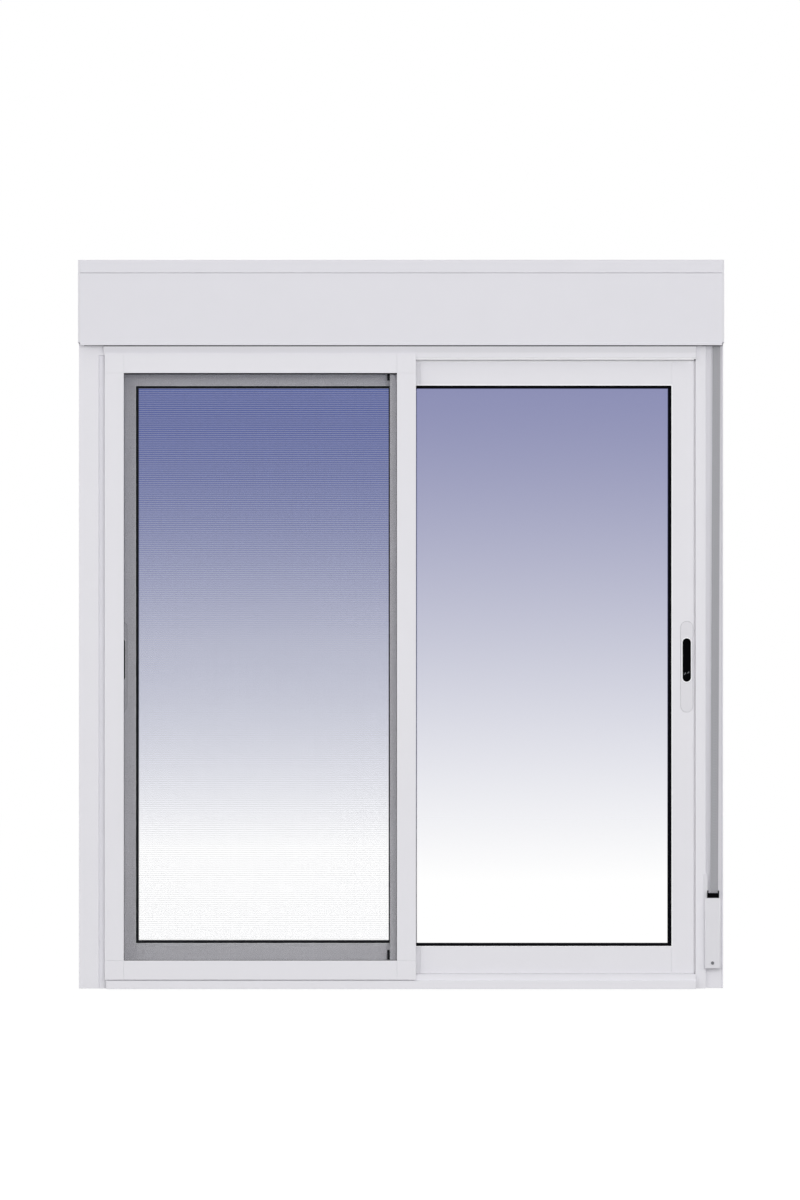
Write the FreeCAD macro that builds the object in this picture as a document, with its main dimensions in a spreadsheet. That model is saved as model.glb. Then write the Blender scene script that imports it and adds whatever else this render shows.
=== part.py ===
import FreeCAD, Part
import Sketcher
import math
import os
import re

# Horizontal sliding window with a roller-shutter box, a strap recoiler and a sliding insect screen.
# Shared frame, in millimetres: X runs right as seen from the room, Y runs out through the wall and
# Z runs up; the origin is the middle of the sill's underside, on the plane between the two tracks.

os.makedirs("parts", exist_ok=True)
doc = FreeCAD.newDocument("sliding_window")

# Driving sizes
SIZES = {
    # outer frame
    "frame_width": 1200.0,
    "frame_height": 1200.0,
    "frame_front": 33.0,
    "frame_back": 31.0,
    "wall": 1.5,
    "jamb_face": 52.0,
    "flange_width": 33.0,
    "flange_recess": 11.0,
    "bead_width": 3.0,
    "bead_height": 2.0,
    "head_height": 28.3,
    "sill_height": 27.4,
    "ledge_depth": 17.0,
    "ledge_height": 15.5,
    "drain_length": 30.0,
    "drain_height": 5.0,
    # tracks
    "track_offset": 15.0,
    "fin": 2.0,
    "fin_reach": 13.0,
    "groove_width": 4.0,
    "groove_depth": 12.0,
    "running_gap": 0.3,
    # sashes
    "sash_past_centre": 18.0,
    "sash_depth": 26.0,
    "sash_top_gap": 2.8,
    "sash_bottom_gap": 1.2,
    "sash_side_gap": 3.0,
    "left_sash_stand_off": 8.8,
    "stile_face": 41.0,
    "meeting_face": 48.0,
    "top_rail_face": 45.7,
    "bottom_rail_face": 50.1,
    "outer_bottom_rail_face": 53.8,
    "lip": 2.0,
    "rebate": 12.0,
    "hook_setback": 21.5,
    "hook_reach": 2.8,
    "end_notch": 8.4,
    "end_notch_depth": 0.8,
    # glazing
    "glass_thickness": 14.0,
    "glass_edge": 10.0,
    "gasket_sight": 5.0,
    # flush pulls
    "pull_width": 22.4,
    "pull_height": 169.0,
    "pull_thickness": 1.6,
    "pull_inset": 13.2,
    "pull_centre": 570.2,
    "slot_width": 15.5,
    "slot_height": 80.7,
    "slot_rise": 12.5,
    "cup_wall": 1.0,
    "cup_depth": 8.5,
    "cup_gap": 0.2,
    "latch_height": 12.0,
    "latch_gap": 2.0,
    "latch_depth": 4.0,
    # insect screen
    "screen_past_centre": 27.7,
    "screen_top_gap": 19.8,
    "screen_depth": 14.0,
    "screen_face": 35.5,
    "screen_lap": 2.75,
    "screen_bottom": 17.4,
    "screen_clearance": 3.0,
    "screen_wall": 1.3,
    "screen_groove_depth": 9.0,
    "mesh_thickness": 0.4,
    "mesh_slot": 1.0,
    "mesh_slot_depth": 6.0,
    "mesh_edge": 5.0,
    "spigot": 14.0,
    "spigot_gap": 0.2,
    # shutter box
    "box_height": 155.0,
    "box_front": 56.0,
    "box_rear_room": 2.5,
    "box_wall": 4.0,
    "band_height": 24.3,
    "cover_joint": 0.9,
    "cover_drop": 4.0,
    "lip_height": 5.0,
    "lip_proud": 1.0,
    "lip_round": 0.8,
    "tongue": 1.5,
    "tongue_reach": 7.0,
    "cap_lift": 0.5,
    "cap_corner": 3.0,
    # shutter
    "curtain_thickness": 8.0,
    "curtain_track": 54.0,
    "curtain_slot": 12.0,
    "slat_round": 2.0,
    "guide_depth": 45.0,
    "channel_depth": 36.0,
    "drum_clearance": 11.1,
    "axle_radius": 30.0,
    "axle_end_gap": 24.0,
    "journal_radius": 10.0,
    "boss_radius": 16.0,
    "boss_depth": 9.0,
    "roll_clearance": 7.5,
    "roll_end_gap": 2.0,
    "end_slat_drop": 22.0,
    "end_slat_play": 4.0,
    "stop_width": 24.0,
    "stop_depth": 12.0,
    "stop_height": 18.0,
    "stop_inset": 230.0,
    # strap and recoiler
    "strap_width": 14.3,
    "strap_thickness": 1.2,
    "strap_setback": 39.0,
    "strap_top_inset": 12.9,
    "strap_lean": 5.0,
    "strap_foot": 150.0,
    "pulley_width": 17.0,
    "pulley_rim": 6.0,
    "pulley_cheek": 1.0,
    "recoiler_plate": 3.7,
    "recoiler_margin": 1.0,
    "arm_width": 6.3,
    "arm_height": 44.8,
    "arm_round": 3.0,
    "case_bottom": 38.6,
    "case_width": 28.5,
    "case_height": 130.4,
    "case_depth": 9.0,
    "case_edge": 6.9,
    "case_wall": 1.5,
    "case_round": 1.5,
    "mouth_height": 9.1,
    "mouth_width": 22.0,
    "mouth_shift": 1.3,
    "mouth_slot": 3.4,
    "screw_radius": 3.0,
    "screw_rise": 9.7,
    "screw_head": 1.5,
    "screw_slot": 0.8,
}

# Sizes worked out from the driving ones
DERIVED = {
    "jamb_line": "frame_width / 2 - jamb_face",
    "head_under": "frame_height - head_height",
    "sash_width": "jamb_line + sash_past_centre",
    "sash_foot": "sill_height + sash_bottom_gap",
    "sash_height": "head_under - sash_top_gap - sash_foot",
    "screen_width": "jamb_line + screen_lap + screen_past_centre",
    "screen_height": "frame_height - screen_top_gap - screen_bottom",
    "screen_middle": "-(frame_front + screen_clearance + screen_depth / 2)",
    "axle_half_length": "frame_width / 2 - axle_end_gap",
    "axle_level": "frame_height + box_height / 2",
    "drum_radius": "box_height / 2 - box_wall - drum_clearance",
    "axle_setback": "drum_radius + strap_thickness / 2 - strap_setback",
    "roll_radius": "box_height / 2 - box_wall - roll_clearance",
    "box_back": "axle_setback + box_height / 2 + box_rear_room",
    "slat_reach": "curtain_track - curtain_thickness / 2 - axle_setback",
    "slat_top": "axle_level - (roll_radius ^ 2 - slat_reach ^ 2) ^ 0.5 - running_gap",
}

table = doc.addObject("Spreadsheet::Sheet", "Sizes")
for row, (size_name, size_value) in enumerate(SIZES.items(), start=1):
    table.set(f"A{row}", size_name)
    table.set(f"B{row}", str(size_value))
    table.setAlias(f"B{row}", size_name)
doc.recompute()

nodes = []


def bound(formula):
    """Turns the plain size names of a formula into references to the table of sizes."""
    def reference(word):
        name = word.group()
        if name in DERIVED:
            return "(" + bound(DERIVED[name]) + ")"
        return "Sizes." + name
    return re.sub(r"[a-z]\w*", reference, formula)


def number(formula):
    """Gives the present value of a formula."""
    return float(table.evalExpression(bound(formula)))


def new_body(label):
    """Starts a body whose label is its node name."""
    body = doc.addObject("PartDesign::Body", label)
    body.Label = label
    nodes.append(body)
    return body


def place(thing, x="0", y="0", z="0", turn=0):
    """Sets a piece at the given formulas, turned about the vertical by the given degrees."""
    axis = FreeCAD.Vector(0, 0, 1)
    thing.Placement = FreeCAD.Placement(FreeCAD.Vector(), FreeCAD.Rotation(axis, turn))
    thing.setExpression("Placement.Base.x", bound(x))
    thing.setExpression("Placement.Base.y", bound(y))
    thing.setExpression("Placement.Base.z", bound(z))


def new_sketch(body, name, role, offset="0"):
    """Adds a sketch on one of the body's own planes, moved along that plane's normal."""
    sketch = body.newObject("Sketcher::SketchObject", f"{body.Name}_{name}")
    plane = [item for item in body.Origin.OriginFeatures if item.Role == role][0]
    sketch.AttachmentSupport = [(plane, "")]
    sketch.MapMode = "FlatFace"
    sketch.setExpression("AttachmentOffset.Base.z", bound(offset))
    return sketch


def pin(sketch, kind, geometry, point, formula):
    """Ties one coordinate of a point to a formula."""
    index = sketch.addConstraint(Sketcher.Constraint(kind, -1, 1, geometry, point, number(formula)))
    sketch.setExpression(f"Constraints[{index}]", bound(formula))


def outline(sketch, corners):
    """Draws a closed outline through corners given as pairs of formulas, fully constrained."""
    first = sketch.GeometryCount
    count = len(corners)
    points = [FreeCAD.Vector(number(u), number(v), 0) for u, v in corners]
    for i in range(count):
        sketch.addGeometry(Part.LineSegment(points[i], points[(i + 1) % count]))
    for i in range(count):
        sketch.addConstraint(Sketcher.Constraint("Coincident", first + i, 2, first + (i + 1) % count, 1))
    for i in range(count):
        before = corners[i - 1]
        line_before = first + (i - 1) % count
        if before[0] == corners[i][0]:
            sketch.addConstraint(Sketcher.Constraint("Vertical", line_before))
        else:
            pin(sketch, "DistanceX", first + i, 1, corners[i][0])
        if before[1] == corners[i][1]:
            sketch.addConstraint(Sketcher.Constraint("Horizontal", line_before))
        else:
            pin(sketch, "DistanceY", first + i, 1, corners[i][1])


def rectangle(sketch, left, bottom, right, top):
    """Draws a rectangle between two corners given as formulas."""
    outline(sketch, [(left, bottom), (right, bottom), (right, top), (left, top)])


def circle(sketch, u, v, radius):
    """Draws a circle whose centre and radius follow formulas."""
    centre = FreeCAD.Vector(number(u), number(v), 0)
    item = sketch.addGeometry(Part.Circle(centre, FreeCAD.Vector(0, 0, 1), number(radius)))
    pin(sketch, "DistanceX", item, 3, u)
    pin(sketch, "DistanceY", item, 3, v)
    index = sketch.addConstraint(Sketcher.Constraint("Radius", item, number(radius)))
    sketch.setExpression(f"Constraints[{index}]", bound(radius))


def pad(body, sketch, length, both_ways=False, reverse=False):
    """Pads a sketch by a formula."""
    feature = body.newObject("PartDesign::Pad", f"{sketch.Name}_pad")
    feature.Profile = sketch
    feature.setExpression("Length", bound(length))
    feature.Midplane = both_ways
    feature.Reversed = reverse
    return feature


def pocket(body, sketch, depth):
    """Cuts a sketch half the depth to each side of its plane."""
    feature = body.newObject("PartDesign::Pocket", f"{sketch.Name}_pocket")
    feature.Profile = sketch
    feature.setExpression("Length", bound(depth))
    feature.Midplane = True
    return feature


def round_edges(body, name, radius, axis, chosen):
    """Rounds the body's straight edges that run along an axis and whose middle is chosen."""
    doc.recompute()
    base = body.Tip
    direction = FreeCAD.Vector(*axis)
    edges = []
    for index, edge in enumerate(base.Shape.Edges, start=1):
        along = edge.tangentAt(edge.FirstParameter)
        straight = isinstance(edge.Curve, Part.Line)
        if straight and abs(along.dot(direction)) > 0.999 and chosen(edge.CenterOfMass):
            edges.append(f"Edge{index}")
    if not edges:
        raise SystemExit(f"{body.Label}: no edge to round for {name}")
    feature = body.newObject("PartDesign::Fillet", f"{body.Name}_{name}")
    feature.Base = (base, edges)
    feature.setExpression("Radius", bound(radius))
    return feature


def lies_at(value, formula):
    """Says whether a coordinate lies on a formula's value."""
    return abs(value - number(formula)) < 0.01


def extrusion(label, role, loops, length, offset="0", both_ways=False, reverse=False):
    """Makes a bar from the outlines of its section."""
    body = new_body(label)
    sketch = new_sketch(body, "section", role, offset)
    for loop in loops:
        outline(sketch, loop)
    pad(body, sketch, length, both_ways, reverse)
    return body


# Outer frame
# Each jamb is a hollow bar: a raised leg that the sashes close against, and a set-back flange that
# runs out to the masonry and ends in a small bead.
def make_jamb(label, side):
    outer = f"{side} * frame_width / 2"
    inner = f"{side} * (frame_width / 2 - jamb_face)"
    leg = f"{side} * (frame_width / 2 - flange_width)"
    flange = "flange_recess - frame_front"
    bead = f"{side} * (frame_width / 2 - bead_width)"
    section = [
        (outer, "frame_back"),
        (inner, "frame_back"),
        (inner, "-frame_front"),
        (leg, "-frame_front"),
        (leg, flange),
        (bead, flange),
        (bead, f"{flange} - bead_height"),
        (outer, f"{flange} - bead_height"),
    ]
    leg_chamber = [
        (f"{side} * (frame_width / 2 - jamb_face + wall)", "wall - frame_front"),
        (f"{side} * (frame_width / 2 - flange_width - wall)", "wall - frame_front"),
        (f"{side} * (frame_width / 2 - flange_width - wall)", "frame_back - wall"),
        (f"{side} * (frame_width / 2 - jamb_face + wall)", "frame_back - wall"),
    ]
    flange_chamber = [
        (leg, f"{flange} + wall"),
        (f"{side} * (frame_width / 2 - wall)", f"{flange} + wall"),
        (f"{side} * (frame_width / 2 - wall)", "frame_back - wall"),
        (leg, "frame_back - wall"),
    ]
    body = extrusion(label, "XY_Plane", [section, leg_chamber, flange_chamber], "frame_height")
    # The fins that enter the sash stiles are milled away where the head and the sill butt.
    fins = new_sketch(body, "fins", "XY_Plane", "sill_height")
    for track in ("-track_offset", "track_offset"):
        rectangle(
            fins,
            f"{side} * (frame_width / 2 - jamb_face - fin_reach)",
            f"{track} - fin / 2",
            inner,
            f"{track} + fin / 2",
        )
    pad(body, fins, "frame_height - sill_height - head_height")
    return body


make_jamb("frame_jamb_left", "-1")
make_jamb("frame_jamb_right", "1")

# Head: a hollow bar between the jambs, two fins for the sashes and a hanging fin for the screen.
head_section = [
    ("frame_back", "frame_height"),
    ("-frame_front", "frame_height"),
    ("-frame_front", "frame_height - wall"),
    ("screen_middle - fin / 2", "frame_height - wall"),
    ("screen_middle - fin / 2", "head_under + fin"),
    ("screen_middle + fin / 2", "head_under + fin"),
    ("screen_middle + fin / 2", "frame_height - 2 * wall"),
    ("-frame_front", "frame_height - 2 * wall"),
    ("-frame_front", "head_under"),
    ("-track_offset - fin / 2", "head_under"),
    ("-track_offset - fin / 2", "head_under - fin_reach"),
    ("-track_offset + fin / 2", "head_under - fin_reach"),
    ("-track_offset + fin / 2", "head_under"),
    ("track_offset - fin / 2", "head_under"),
    ("track_offset - fin / 2", "head_under - fin_reach"),
    ("track_offset + fin / 2", "head_under - fin_reach"),
    ("track_offset + fin / 2", "head_under"),
    ("frame_back", "head_under"),
]
head_chamber = [
    ("wall - frame_front", "head_under + wall"),
    ("frame_back - wall", "head_under + wall"),
    ("frame_back - wall", "frame_height - wall"),
    ("wall - frame_front", "frame_height - wall"),
]
between_jambs = "2 * jamb_line"
extrusion("frame_head", "YZ_Plane", [head_section, head_chamber], between_jambs, both_ways=True)

# Sill: a hollow bar with two running rails, and in front a low ledge whose fin carries the screen.
rail_top = "sash_foot + groove_depth - running_gap"
screen_fin_top = "screen_bottom + screen_groove_depth - running_gap"
sill_section = [
    ("frame_back", "0"),
    ("frame_back", "sill_height"),
    ("track_offset + fin / 2", "sill_height"),
    ("track_offset + fin / 2", rail_top),
    ("track_offset - fin / 2", rail_top),
    ("track_offset - fin / 2", "sill_height"),
    ("-track_offset + fin / 2", "sill_height"),
    ("-track_offset + fin / 2", rail_top),
    ("-track_offset - fin / 2", rail_top),
    ("-track_offset - fin / 2", "sill_height"),
    ("-frame_front", "sill_height"),
    ("-frame_front", "ledge_height"),
    ("screen_middle + fin / 2", "ledge_height"),
    ("screen_middle + fin / 2", screen_fin_top),
    ("screen_middle - fin / 2", screen_fin_top),
    ("screen_middle - fin / 2", "ledge_height"),
    ("-frame_front - ledge_depth", "ledge_height"),
    ("-frame_front - ledge_depth", "0"),
    ("-frame_front - ledge_depth + wall", "0"),
    ("-frame_front - ledge_depth + wall", "ledge_height - wall"),
    ("-frame_front", "ledge_height - wall"),
    ("-frame_front", "0"),
]
sill_chamber = [
    ("wall - frame_front", "wall"),
    ("frame_back - wall", "wall"),
    ("frame_back - wall", "sill_height - wall"),
    ("wall - frame_front", "sill_height - wall"),
]
sill = extrusion("frame_sill", "YZ_Plane", [sill_section, sill_chamber], between_jambs, both_ways=True)
# Water leaves behind through three slots, one in the middle and one a third of the width to each side.
drains = new_sketch(sill, "drains", "XZ_Plane", "-frame_back")
for drain_place in ("-frame_width / 3", "0", "frame_width / 3"):
    rectangle(
        drains,
        f"{drain_place} - drain_length / 2",
        "2 * wall",
        f"{drain_place} + drain_length / 2",
        "2 * wall + drain_height",
    )
pocket(sill, drains, "3 * wall")

# Sashes
# Both sashes are the same set of bars; the left one is turned half round onto the outer track. Each
# is drawn from its lower outer corner, with its bars running towards minus X.
half_depth = "sash_depth / 2"
pane_right = "-stile_face"
pane_left = "meeting_face - sash_width"


def add_end_grooves(body):
    """Cuts both ends of a stile so that the rails of the head and the sill run through it."""
    ends = new_sketch(body, "ends", "YZ_Plane")
    rectangle(ends, "-groove_width / 2", "-wall", "groove_width / 2", "groove_depth")
    low = "sash_height - groove_depth"
    rectangle(ends, "-groove_width / 2", low, "groove_width / 2", "sash_height + wall")
    pocket(body, ends, "2 * sash_width + 2 * wall")


def slot_outline(sketch, width, height, centre):
    """Draws an upright slot with half-round ends about the pull's centre line."""
    left = number(f"-pull_inset - ({width}) / 2")
    right = number(f"-pull_inset + ({width}) / 2")
    middle = number("-pull_inset")
    radius = number(f"({width}) / 2")
    low = number(f"({centre}) - ({height}) / 2") + radius
    high = number(f"({centre}) + ({height}) / 2") - radius
    up = FreeCAD.Vector(0, 0, 1)
    first = sketch.GeometryCount
    sketch.addGeometry(Part.LineSegment(FreeCAD.Vector(right, low, 0), FreeCAD.Vector(right, high, 0)))
    top = Part.Circle(FreeCAD.Vector(middle, high, 0), up, radius)
    sketch.addGeometry(Part.ArcOfCircle(top, 0, math.pi))
    sketch.addGeometry(Part.LineSegment(FreeCAD.Vector(left, high, 0), FreeCAD.Vector(left, low, 0)))
    bottom = Part.Circle(FreeCAD.Vector(middle, low, 0), up, radius)
    sketch.addGeometry(Part.ArcOfCircle(bottom, math.pi, 2 * math.pi))
    for i in range(4):
        sketch.addConstraint(Sketcher.Constraint("Tangent", first + i, 2, first + (i + 1) % 4, 1))
    sketch.addConstraint(Sketcher.Constraint("Vertical", first))
    pin(sketch, "DistanceX", first + 1, 3, "-pull_inset")
    pin(sketch, "DistanceY", first + 1, 3, f"({centre}) + ({height}) / 2 - ({width}) / 2")
    pin(sketch, "DistanceY", first + 3, 3, f"({centre}) - ({height}) / 2 + ({width}) / 2")
    index = sketch.addConstraint(Sketcher.Constraint("Radius", first + 1, radius))
    sketch.setExpression(f"Constraints[{index}]", bound(f"({width}) / 2"))


def make_outer_stile(label, front):
    section = [
        ("0", f"-{half_depth}"),
        ("0", "-groove_width / 2"),
        ("-groove_depth", "-groove_width / 2"),
        ("-groove_depth", "groove_width / 2"),
        ("0", "groove_width / 2"),
        ("0", half_depth),
        ("-stile_face", half_depth),
        ("-stile_face", f"{half_depth} - lip"),
        ("rebate - stile_face", f"{half_depth} - lip"),
        ("rebate - stile_face", f"lip - {half_depth}"),
        ("-stile_face", f"lip - {half_depth}"),
        ("-stile_face", f"-{half_depth}"),
    ]
    chamber = [
        ("rebate - stile_face + wall", f"wall - {half_depth}"),
        ("-wall", f"wall - {half_depth}"),
        ("-wall", "-groove_width / 2 - wall"),
        ("-groove_depth - wall", "-groove_width / 2 - wall"),
        ("-groove_depth - wall", "groove_width / 2 + wall"),
        ("-wall", "groove_width / 2 + wall"),
        ("-wall", f"{half_depth} - wall"),
        ("rebate - stile_face + wall", f"{half_depth} - wall"),
    ]
    body = extrusion(label, "XY_Plane", [section, chamber], "sash_height")
    add_end_grooves(body)
    window = new_sketch(body, "pull_opening", "XZ_Plane", f"-{front} * {half_depth}")
    slot_outline(window, "slot_width + 2 * (cup_wall + cup_gap)",
                 "slot_height + 2 * (cup_wall + cup_gap)", "pull_centre + slot_rise")
    pocket(body, window, "4 * wall")
    return body


def make_meeting_stile(label):
    edge = "-sash_width"
    hook = "hook_setback - sash_width"
    section = [
        (edge, f"-{half_depth}"),
        (edge, half_depth),
        (hook, half_depth),
        (hook, f"{half_depth} + hook_reach"),
        (f"{hook} + wall", f"{half_depth} + hook_reach"),
        (f"{hook} + wall", half_depth),
        (pane_left, half_depth),
        (pane_left, f"{half_depth} - lip"),
        (f"{pane_left} - rebate", f"{half_depth} - lip"),
        (f"{pane_left} - rebate", f"lip - {half_depth}"),
        (f"{pane_left}", f"lip - {half_depth}"),
        (f"{pane_left}", f"-{half_depth}"),
    ]
    chamber = [
        (f"{edge} + wall", f"wall - {half_depth}"),
        (f"{edge} + wall", f"{half_depth} - wall"),
        (f"{pane_left} - rebate - wall", f"{half_depth} - wall"),
        (f"{pane_left} - rebate - wall", f"wall - {half_depth}"),
    ]
    body = extrusion(label, "XY_Plane", [section, chamber], "sash_height")
    add_end_grooves(body)
    return body


def make_rail(label, edge, inward, face, front):
    """Makes a rail from its outer edge towards the pane; inward is 1 for the bottom rail."""
    pane = f"{edge} + {inward} * {face}"
    groove = f"{edge} + {inward} * groove_depth"
    section = [
        (f"-{half_depth}", edge),
        ("-groove_width / 2", edge),
        ("-groove_width / 2", groove),
        ("groove_width / 2", groove),
        ("groove_width / 2", f"{edge}"),
        (half_depth, f"{edge}"),
        (half_depth, pane),
        (f"{half_depth} - lip", pane),
        (f"{half_depth} - lip", f"{pane} - {inward} * rebate"),
        (f"lip - {half_depth}", f"{pane} - {inward} * rebate"),
        (f"lip - {half_depth}", f"{pane}"),
        (f"-{half_depth}", f"{pane}"),
    ]
    chamber = [
        (f"wall - {half_depth}", f"{edge} + {inward} * wall"),
        ("-groove_width / 2 - wall", f"{edge} + {inward} * wall"),
        ("-groove_width / 2 - wall", f"{groove} + {inward} * wall"),
        ("groove_width / 2 + wall", f"{groove} + {inward} * wall"),
        ("groove_width / 2 + wall", f"{edge} + {inward} * wall"),
        (f"{half_depth} - wall", f"{edge} + {inward} * wall"),
        (f"{half_depth} - wall", f"{pane} - {inward} * (rebate + wall)"),
        (f"wall - {half_depth}", f"{pane} - {inward} * (rebate + wall)"),
    ]
    length = "sash_width - meeting_face - stile_face"
    body = extrusion(label, "YZ_Plane", [section, chamber], length, offset=pane_left)
    notch = new_sketch(body, "end_notch", "XZ_Plane", f"-{front} * {half_depth}")
    rectangle(notch, f"{pane_left} - wall", f"{edge} - {inward} * wall", f"{pane_left} + end_notch",
              f"{pane} + {inward} * wall")
    pocket(body, notch, "2 * end_notch_depth")
    return body


def make_gasket(label, foot):
    """One rubber channel wrapped round the pane's edge, showing as a narrow dark margin."""
    body = new_body(label)
    ring = new_sketch(body, "ring", "XZ_Plane")
    rectangle(ring, f"{pane_left} - rebate", f"{foot} - rebate", f"{pane_right} + rebate",
              "sash_height - top_rail_face + rebate")
    rectangle(ring, f"{pane_left} + gasket_sight", f"{foot} + gasket_sight",
              f"{pane_right} - gasket_sight", "sash_height - top_rail_face - gasket_sight")
    pad(body, ring, "sash_depth - 2 * lip", both_ways=True)
    seat = new_sketch(body, "seat", "XZ_Plane")
    rectangle(seat, f"{pane_left} - glass_edge", f"{foot} - glass_edge",
              f"{pane_right} + glass_edge", "sash_height - top_rail_face + glass_edge")
    pocket(body, seat, "glass_thickness")
    return body


def make_glass(label, foot):
    body = new_body(label)
    pane = new_sketch(body, "pane", "XZ_Plane")
    rectangle(pane, f"{pane_left} - glass_edge", f"{foot} - glass_edge",
              f"{pane_right} + glass_edge", "sash_height - top_rail_face + glass_edge")
    pad(body, pane, "glass_thickness", both_ways=True)
    return body


def make_pull(prefix, front):
    """Makes the cover plate and the recessed cup on the face that looks into the room."""
    face = f"-{front} * {half_depth}"
    outwards = front == "-1"
    plate = new_body(f"{prefix}_pull_plate")
    sketch = new_sketch(plate, "plate", "XZ_Plane", face)
    slot_outline(sketch, "pull_width", "pull_height", "pull_centre")
    slot_outline(sketch, "slot_width", "slot_height", "pull_centre + slot_rise")
    pad(plate, sketch, "pull_thickness", reverse=not outwards)
    cup = new_body(f"{prefix}_pull_cup")
    block = new_sketch(cup, "block", "XZ_Plane", face)
    slot_outline(block, "slot_width + 2 * cup_wall", "slot_height + 2 * cup_wall",
                 "pull_centre + slot_rise")
    pad(cup, block, "cup_depth", reverse=outwards)
    hollow = new_sketch(cup, "hollow", "XZ_Plane", face)
    slot_outline(hollow, "slot_width", "slot_height", "pull_centre + slot_rise")
    pocket(cup, hollow, "2 * (cup_depth - cup_wall)")
    slide = new_sketch(cup, "latch_slide", "XZ_Plane", f"{face} + {front} * (cup_depth - cup_wall)")
    foot = "pull_centre + slot_rise - slot_height / 2 + slot_width / 2 - latch_gap"
    rectangle(slide, "-pull_inset - slot_width / 2 + latch_gap", foot,
              "-pull_inset + slot_width / 2 - latch_gap", f"{foot} + latch_height")
    pad(cup, slide, "latch_depth", reverse=not outwards)
    return [plate, cup]


def make_sash(prefix, x, y, turn, front, foot):
    """Makes one sash; front is -1 or 1, the side of the bars that looks into the room.

    Foot names the size of the bottom rail's face.
    """
    pieces = [
        make_rail(f"{prefix}_top_rail", "sash_height", "-1", "top_rail_face", front),
        make_rail(f"{prefix}_bottom_rail", "0", "1", foot, front),
        make_outer_stile(f"{prefix}_outer_stile", front),
        make_meeting_stile(f"{prefix}_meeting_stile"),
        make_glass(f"{prefix}_glass", foot),
        make_gasket(f"{prefix}_gasket", foot),
    ]
    pieces += make_pull(prefix, front)
    for piece in pieces:
        place(piece, x, y, "sash_foot", turn)
    return pieces


make_sash("right_sash", "jamb_line - sash_side_gap", "-track_offset", 0, "-1", "bottom_rail_face")
left_edge = "left_sash_stand_off + sash_side_gap - jamb_line"
make_sash("left_sash", left_edge, "track_offset", 180, "1", "outer_bottom_rail_face")

# Insect screen
# Four hollow bars meet in square corner pieces whose spigots plug into them; the mesh is clipped in
# the slot of the inner edge. It is drawn from its lower left corner, in the middle of its depth.
half_screen = "screen_depth / 2"


def screen_loops(across, length_up):
    """Gives the section of a screen bar, its groove at zero and the mesh slot at its face width."""
    section = [
        ("0", f"-{half_screen}"),
        ("0", "-groove_width / 2"),
        ("screen_groove_depth", "-groove_width / 2"),
        ("screen_groove_depth", "groove_width / 2"),
        ("0", "groove_width / 2"),
        ("0", half_screen),
        ("screen_face", half_screen),
        ("screen_face", "mesh_slot / 2"),
        ("screen_face - mesh_slot_depth", "mesh_slot / 2"),
        ("screen_face - mesh_slot_depth", "-mesh_slot / 2"),
        ("screen_face", "-mesh_slot / 2"),
        ("screen_face", f"-{half_screen}"),
    ]
    near = "screen_groove_depth + screen_wall"
    far = "screen_face - mesh_slot_depth - screen_wall"
    chamber = [
        (near, f"screen_wall - {half_screen}"),
        (far, f"screen_wall - {half_screen}"),
        (far, f"{half_screen} - screen_wall"),
        (near, f"{half_screen} - screen_wall"),
    ]
    if across == 1 and length_up:
        return [section, chamber]
    if across == -1 and length_up:
        return [[(f"screen_width - ({u})", v) for u, v in loop] for loop in (section, chamber)]
    if across == 1:
        return [[(v, u) for u, v in loop] for loop in (section, chamber)]
    return [[(v, f"screen_height - ({u})") for u, v in loop] for loop in (section, chamber)]


screen_pieces = [
    extrusion("screen_left_stile", "XY_Plane", screen_loops(1, True),
              "screen_height - 2 * screen_face", offset="screen_face"),
    extrusion("screen_right_stile", "XY_Plane", screen_loops(-1, True),
              "screen_height - 2 * screen_face", offset="screen_face"),
    extrusion("screen_bottom_rail", "YZ_Plane", screen_loops(1, False),
              "screen_width - 2 * screen_face", offset="screen_face"),
    extrusion("screen_top_rail", "YZ_Plane", screen_loops(-1, False),
              "screen_width - 2 * screen_face", offset="screen_face"),
]

mesh = new_body("screen_mesh")
mesh_sheet = new_sketch(mesh, "sheet", "XZ_Plane")
rectangle(mesh_sheet, "screen_face - mesh_edge", "screen_face - mesh_edge",
          "screen_width - screen_face + mesh_edge", "screen_height - screen_face + mesh_edge")
pad(mesh, mesh_sheet, "mesh_thickness", both_ways=True)
screen_pieces.append(mesh)

corners = []
for across, start in ((1, "0"), (-1, "screen_width")):
    for upward, foot in ((1, "0"), (-1, "screen_height")):
        corner = doc.addObject("PartDesign::Body", f"screen_corner_{len(corners) + 1}")
        inner = f"{start} + {across} * screen_face"
        inner_level = f"{foot} + {upward} * screen_face"
        block = new_sketch(corner, "block", "XZ_Plane")
        rectangle(block, start, foot, inner, inner_level)
        pad(corner, block, "screen_depth", both_ways=True)
        spigots = new_sketch(corner, "spigots", "XZ_Plane")
        near = "screen_groove_depth + screen_wall + spigot_gap"
        far = "screen_face - mesh_slot_depth - screen_wall - spigot_gap"
        rectangle(spigots, f"{start} + {across} * ({near})", inner_level,
                  f"{start} + {across} * ({far})", f"{inner_level} + {upward} * spigot")
        rectangle(spigots, inner, f"{foot} + {upward} * ({near})",
                  f"{inner} + {across} * spigot", f"{foot} + {upward} * ({far})")
        pad(corner, spigots, "screen_depth - 2 * screen_wall - 2 * spigot_gap", both_ways=True)
        groove = new_sketch(corner, "groove", "YZ_Plane")
        rectangle(groove, "-groove_width / 2", f"{foot} - {upward} * wall", "groove_width / 2",
                  f"{foot} + {upward} * screen_groove_depth")
        pocket(corner, groove, "2 * screen_width + 2 * screen_face")
        slot = new_sketch(corner, "mesh_corner", "XZ_Plane")
        rectangle(slot, f"{inner} - {across} * mesh_slot_depth",
                  f"{inner_level} - {upward} * mesh_slot_depth",
                  f"{inner} + {across} * wall", f"{inner_level} + {upward} * wall")
        pocket(corner, slot, "mesh_slot")
        corners.append(corner)

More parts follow.
